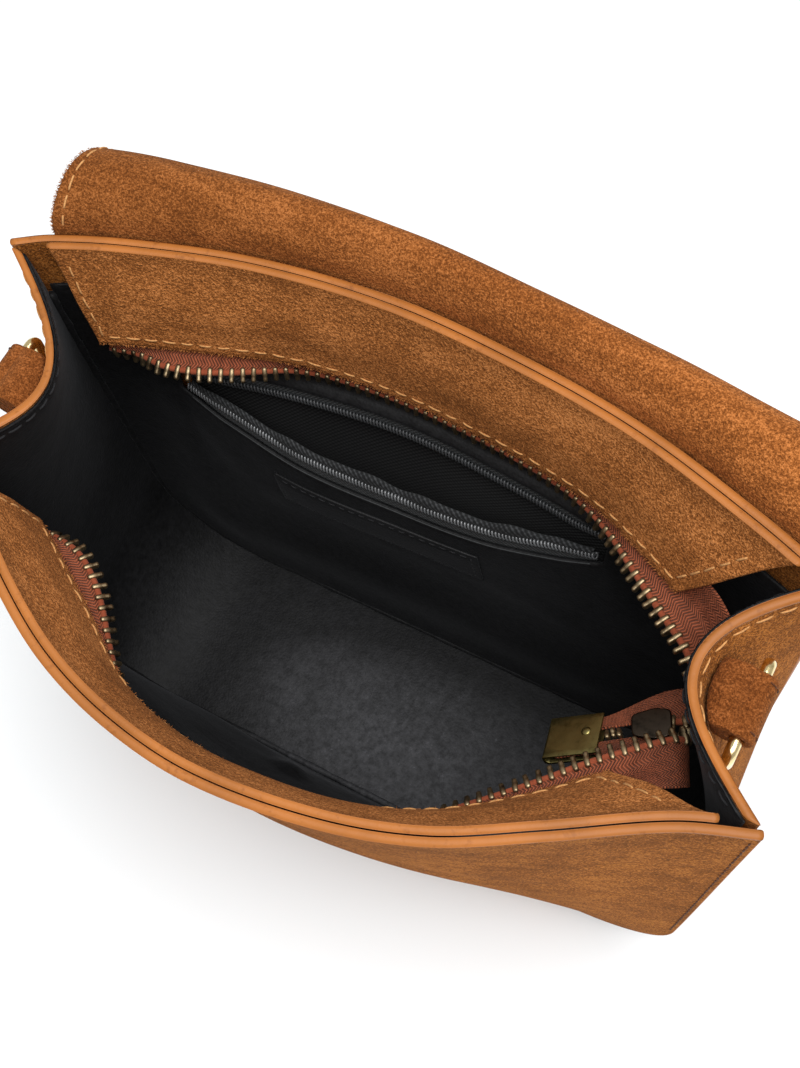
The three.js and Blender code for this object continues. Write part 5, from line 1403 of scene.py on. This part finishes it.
inset = 2.6
turn = np.linspace(0, np.pi / 2, 60)
down = np.linspace(0.055, 1 - corner_run, 260)
bend_x = FLAP_HALF_WIDTH - FLAP_CORNER + (FLAP_CORNER - inset) * np.cos(turn)
bend_run = 1 - (FLAP_CORNER - (FLAP_CORNER - inset) * np.sin(turn)) / FLAP_LENGTH
right = np.concatenate([np.stack([np.full_like(down, FLAP_HALF_WIDTH - inset), down], -1),
                        np.stack([bend_x, bend_run], -1)[1:]])
left = right[::-1] * np.array([-1.0, 1.0])
bottom = np.stack([np.linspace(right[-1, 0], left[0, 0], 80), np.full(80, right[-1, 1])], -1)[1:-1]
border = np.concatenate([right, bottom, left])
stitches("flap_stitches", flap_at(border[:, 0], border[:, 1]), flap_normals(border[:, 0], border[:, 1]),
         thread_light, seed=31, **LONG_STITCH)

outline_x = border[:, 0] * FLAP_HALF_WIDTH / (FLAP_HALF_WIDTH - inset)
outline_run = np.minimum(border[:, 1] * 1.012, 0.998)
outline_x = np.clip(outline_x, -flap_half(outline_run), flap_half(outline_run))
rim_points, inner = flap_at(outline_x, outline_run), flap_at(outline_x * 0.97, outline_run * 0.985)
fuzz("flap_fuzz", rim_points, unit(rim_points - inner), flap_normals(outline_x, outline_run),
     suede_fuzz, 14, 0.75, 71)


# Tabs and D-rings

def gusset_outside(hand, y, height):
    stop = tuple(np.array([v]) for v in (hand, height, 0.0, 0.0))
    half = mix(BASE_DEPTH, TOP_DEPTH, height / BAG_HEIGHT) / 2
    return gusset_points(stop, np.array([y / half]), 0.0, 0.0)[0, 0, 0]


def ring_path(straight=9, bow=44):
    half = RING_WIDTH / 2
    corner = 1.9
    path = [(k * half * 0.72, 0.0) for k in np.linspace(-1, 1, straight)]
    for t in np.linspace(0, np.pi / 2, 7):
        path.append((half - corner * (1 - math.sin(t)), corner * (math.cos(t) - 1)))
    for t in np.linspace(0, np.pi, bow)[1:-1]:
        path.append((half * math.cos(t), -corner - (RING_DROP - corner) * math.sin(t)))
    for t in np.linspace(0, np.pi / 2, 7):
        path.append((-half + corner * (1 - math.cos(t)), corner * (math.sin(t) - 1)))
    return np.array(path)


RING_PLACES = {-1: -89.133, 1: 95.994}


def build_tab(name, node, hand):
    bar = np.array([RING_PLACES[hand], TAB_MIDDLE, BAG_HEIGHT - TAB_DROP])
    bore = RING_WIRE + 0.3
    radius = bore + TAB_THICKNESS
    stations = np.array([-7.3, -7.22, -7.0, -6.6, -5.5, -4, -2, 0, 2, 4, 5.5, 6.6, 7.0, 7.22, 7.3])
    insets = np.array([0.55, 0.3, 0.1, 0, 0, 0, 0, 0, 0, 0, 0, 0, 0.1, 0.3, 0.55])
    outer_rings, inner_rings = [], []
    for y, trim in zip(stations, insets):
        wall = [gusset_outside(hand, TAB_MIDDLE + y, bar[2] + z) + hand * GAP - bar[0]
                for z in (-2.6, 0, 2.6)]
        profile = [(wall[0], -2.6), (wall[1], 0.0), (wall[2], 2.6)]
        profile += [(hand * radius * math.cos(t), radius * math.sin(t))
                    for t in np.radians(np.linspace(108, -108, 40))]
        profile = np.array(profile)
        angle = np.arctan2(profile[:, 1], profile[:, 0] * hand)
        steps = np.linspace(0, 2 * np.pi, 65)[:-1] - np.pi
        order = np.argsort(angle)
        reach = np.linalg.norm(profile, axis=1)
        reach = np.interp(steps, angle[order], reach[order], period=2 * np.pi) - trim
        for out, found in ((reach, outer_rings), (bore + trim * 0.3, inner_rings)):
            found.append(np.column_stack([bar[0] + hand * out * np.cos(steps), np.full(64, bar[1] + y),
                                          bar[2] + out * np.sin(steps)]))
    rings = outer_rings + inner_rings[::-1]
    vertices, faces = loft(np.array(rings), closed=True)
    piece = make(name, vertices, faces, suede_tab)
    dress(piece, node)
    path = np.array([(bar[0] + hand * radius * math.cos(t), bar[1] + s, bar[2] + radius * math.sin(t))
                     for s in (-5.6, 5.6) for t in np.radians(np.linspace(80, -75, 40))])
    out = unit(path - np.stack([np.full(80, bar[0]), path[:, 1], np.full(80, bar[2])], -1))
    for k, part in enumerate((slice(0, 40), slice(40, 80))):
        stitches(f"{name}_stitches_{k}", path[part], out[part], thread_dark, pitch=2.6, length=1.9,
                 radius=0.18, seed=40 + k)


def build_ring(name, node, body, hand):
    path = ring_path()
    line = np.column_stack([np.full(len(path), RING_PLACES[hand]), TAB_MIDDLE + path[:, 0],
                            BAG_HEIGHT - TAB_DROP + path[:, 1]])
    vertices, faces = tube(line, RING_WIRE, 18, closed=True, normal=(1, 0, 0))
    piece = make(name, vertices, faces, ring_metal, body)
    dress(piece, node)


build_tab("left_tab_loop", "tab_left", -1)
build_tab("right_tab_loop", "tab_right", 1)
build_ring("left_ring_wire", "d_ring_left", "ring_left", -1)
build_ring("right_ring_wire", "d_ring_right", "ring_right", 1)

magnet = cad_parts["magnet_disc"]
for slot in magnet.material_slots:
    slot.material = steel

# Dark, tight stitches down both sides of the two panels
for side, first in ((FRONT, "front"), (BACK, "back")):
    for hand in (-1, 1):
        ups = np.linspace(0.985, 0.25, 200)
        run = hand * (1 - PANEL_INSET / half_width(side, ups * BAG_HEIGHT))
        inward = panel_inward(side, run, ups)
        stitches(f"{first}_edge_stitches_{'l' if hand < 0 else 'r'}",
                 panel_point(side, run, ups) - inward * SUEDE, -inward, thread_dark,
                 seed=50 + hand, **TIGHT_STITCH)


# Camera, as the photograph was taken, and plain studio light

PHOTO_WIDTH = 800
FOCAL_PIXELS = 1384.55
SENSOR = 36
LOOKED_AT = np.array([-5.57, 26.8, 80.0])
DISTANCE = 375.49
FLOOR_HALF = 3
FLOOR_COLOUR = (0.845, 0.875, 0.89, 1)
WORLD_STRENGTH = 0.52
KEY_PLACE, KEY_TARGET = (0.3, -0.12, 1.3), (0, 0, 0.08)
KEY_SIZE, KEY_POWER = (1.1, 1.0), 22


def placing(x, y, z, place):
    """The matrix of an object with these axes at this place."""
    matrix = np.eye(4)
    matrix[:3, 0], matrix[:3, 1], matrix[:3, 2], matrix[:3, 3] = x, y, z, place
    return Matrix(matrix.tolist())


AZ, EL, ROLL = math.radians(39.09), math.radians(65.1), math.radians(-12.42)
back = np.array([math.sin(AZ) * math.cos(EL), -math.cos(AZ) * math.cos(EL), math.sin(EL)])
right_axis = np.array([math.cos(AZ), math.sin(AZ), 0.0])
up_axis = np.cross(back, right_axis)
right_rolled = math.cos(ROLL) * right_axis + math.sin(ROLL) * up_axis
up_rolled = math.cos(ROLL) * up_axis - math.sin(ROLL) * right_axis
eye = LOOKED_AT + back * DISTANCE
camera_data = bpy.data.cameras.new("camera")
camera = bpy.data.objects.new("camera", camera_data)
bpy.context.scene.collection.objects.link(camera)
camera_data.sensor_fit = "HORIZONTAL"
camera_data.sensor_width = SENSOR
camera_data.lens = FOCAL_PIXELS / PHOTO_WIDTH * SENSOR
camera_data.clip_start = 0.01
camera_data.clip_end = 50
camera.matrix_world = placing(right_rolled, up_rolled, back, eye * MM)
bpy.context.scene.camera = camera

floor_look = Look("floor", Roughness=0.9, Specular_IOR_Level=0.1, Base_Color=FLOOR_COLOUR)
floor_mesh = bpy.data.meshes.new("floor")
corners = [(x * FLOOR_HALF, y * FLOOR_HALF, 0) for x, y in ((-1, -1), (1, -1), (1, 1), (-1, 1))]
floor_mesh.from_pydata(corners, [], [(0, 1, 2, 3)])
floor_mesh.materials.append(floor_look.material)
floor = bpy.data.objects.new("floor", floor_mesh)
bpy.context.scene.collection.objects.link(floor)

world = bpy.data.worlds.new("studio")
bpy.context.scene.world = world
world.use_nodes = True
background = world.node_tree.nodes["Background"]
background.inputs[0].default_value = (1, 1, 1, 1)
background.inputs[1].default_value = WORLD_STRENGTH

light = bpy.data.lights.new("key", "AREA")
light.shape = "RECTANGLE"
light.size, light.size_y = KEY_SIZE
light.energy = KEY_POWER
lamp = bpy.data.objects.new("key", light)
bpy.context.scene.collection.objects.link(lamp)
lamp_z = unit(np.array(KEY_PLACE) - np.array(KEY_TARGET))
lamp_x = unit(np.cross([0, 0, 1.0], lamp_z))
lamp.matrix_world = placing(lamp_x, np.cross(lamp_z, lamp_x), lamp_z, KEY_PLACE)

bpy.context.scene.view_settings.view_transform = "Standard"
bpy.context.view_layer.update()
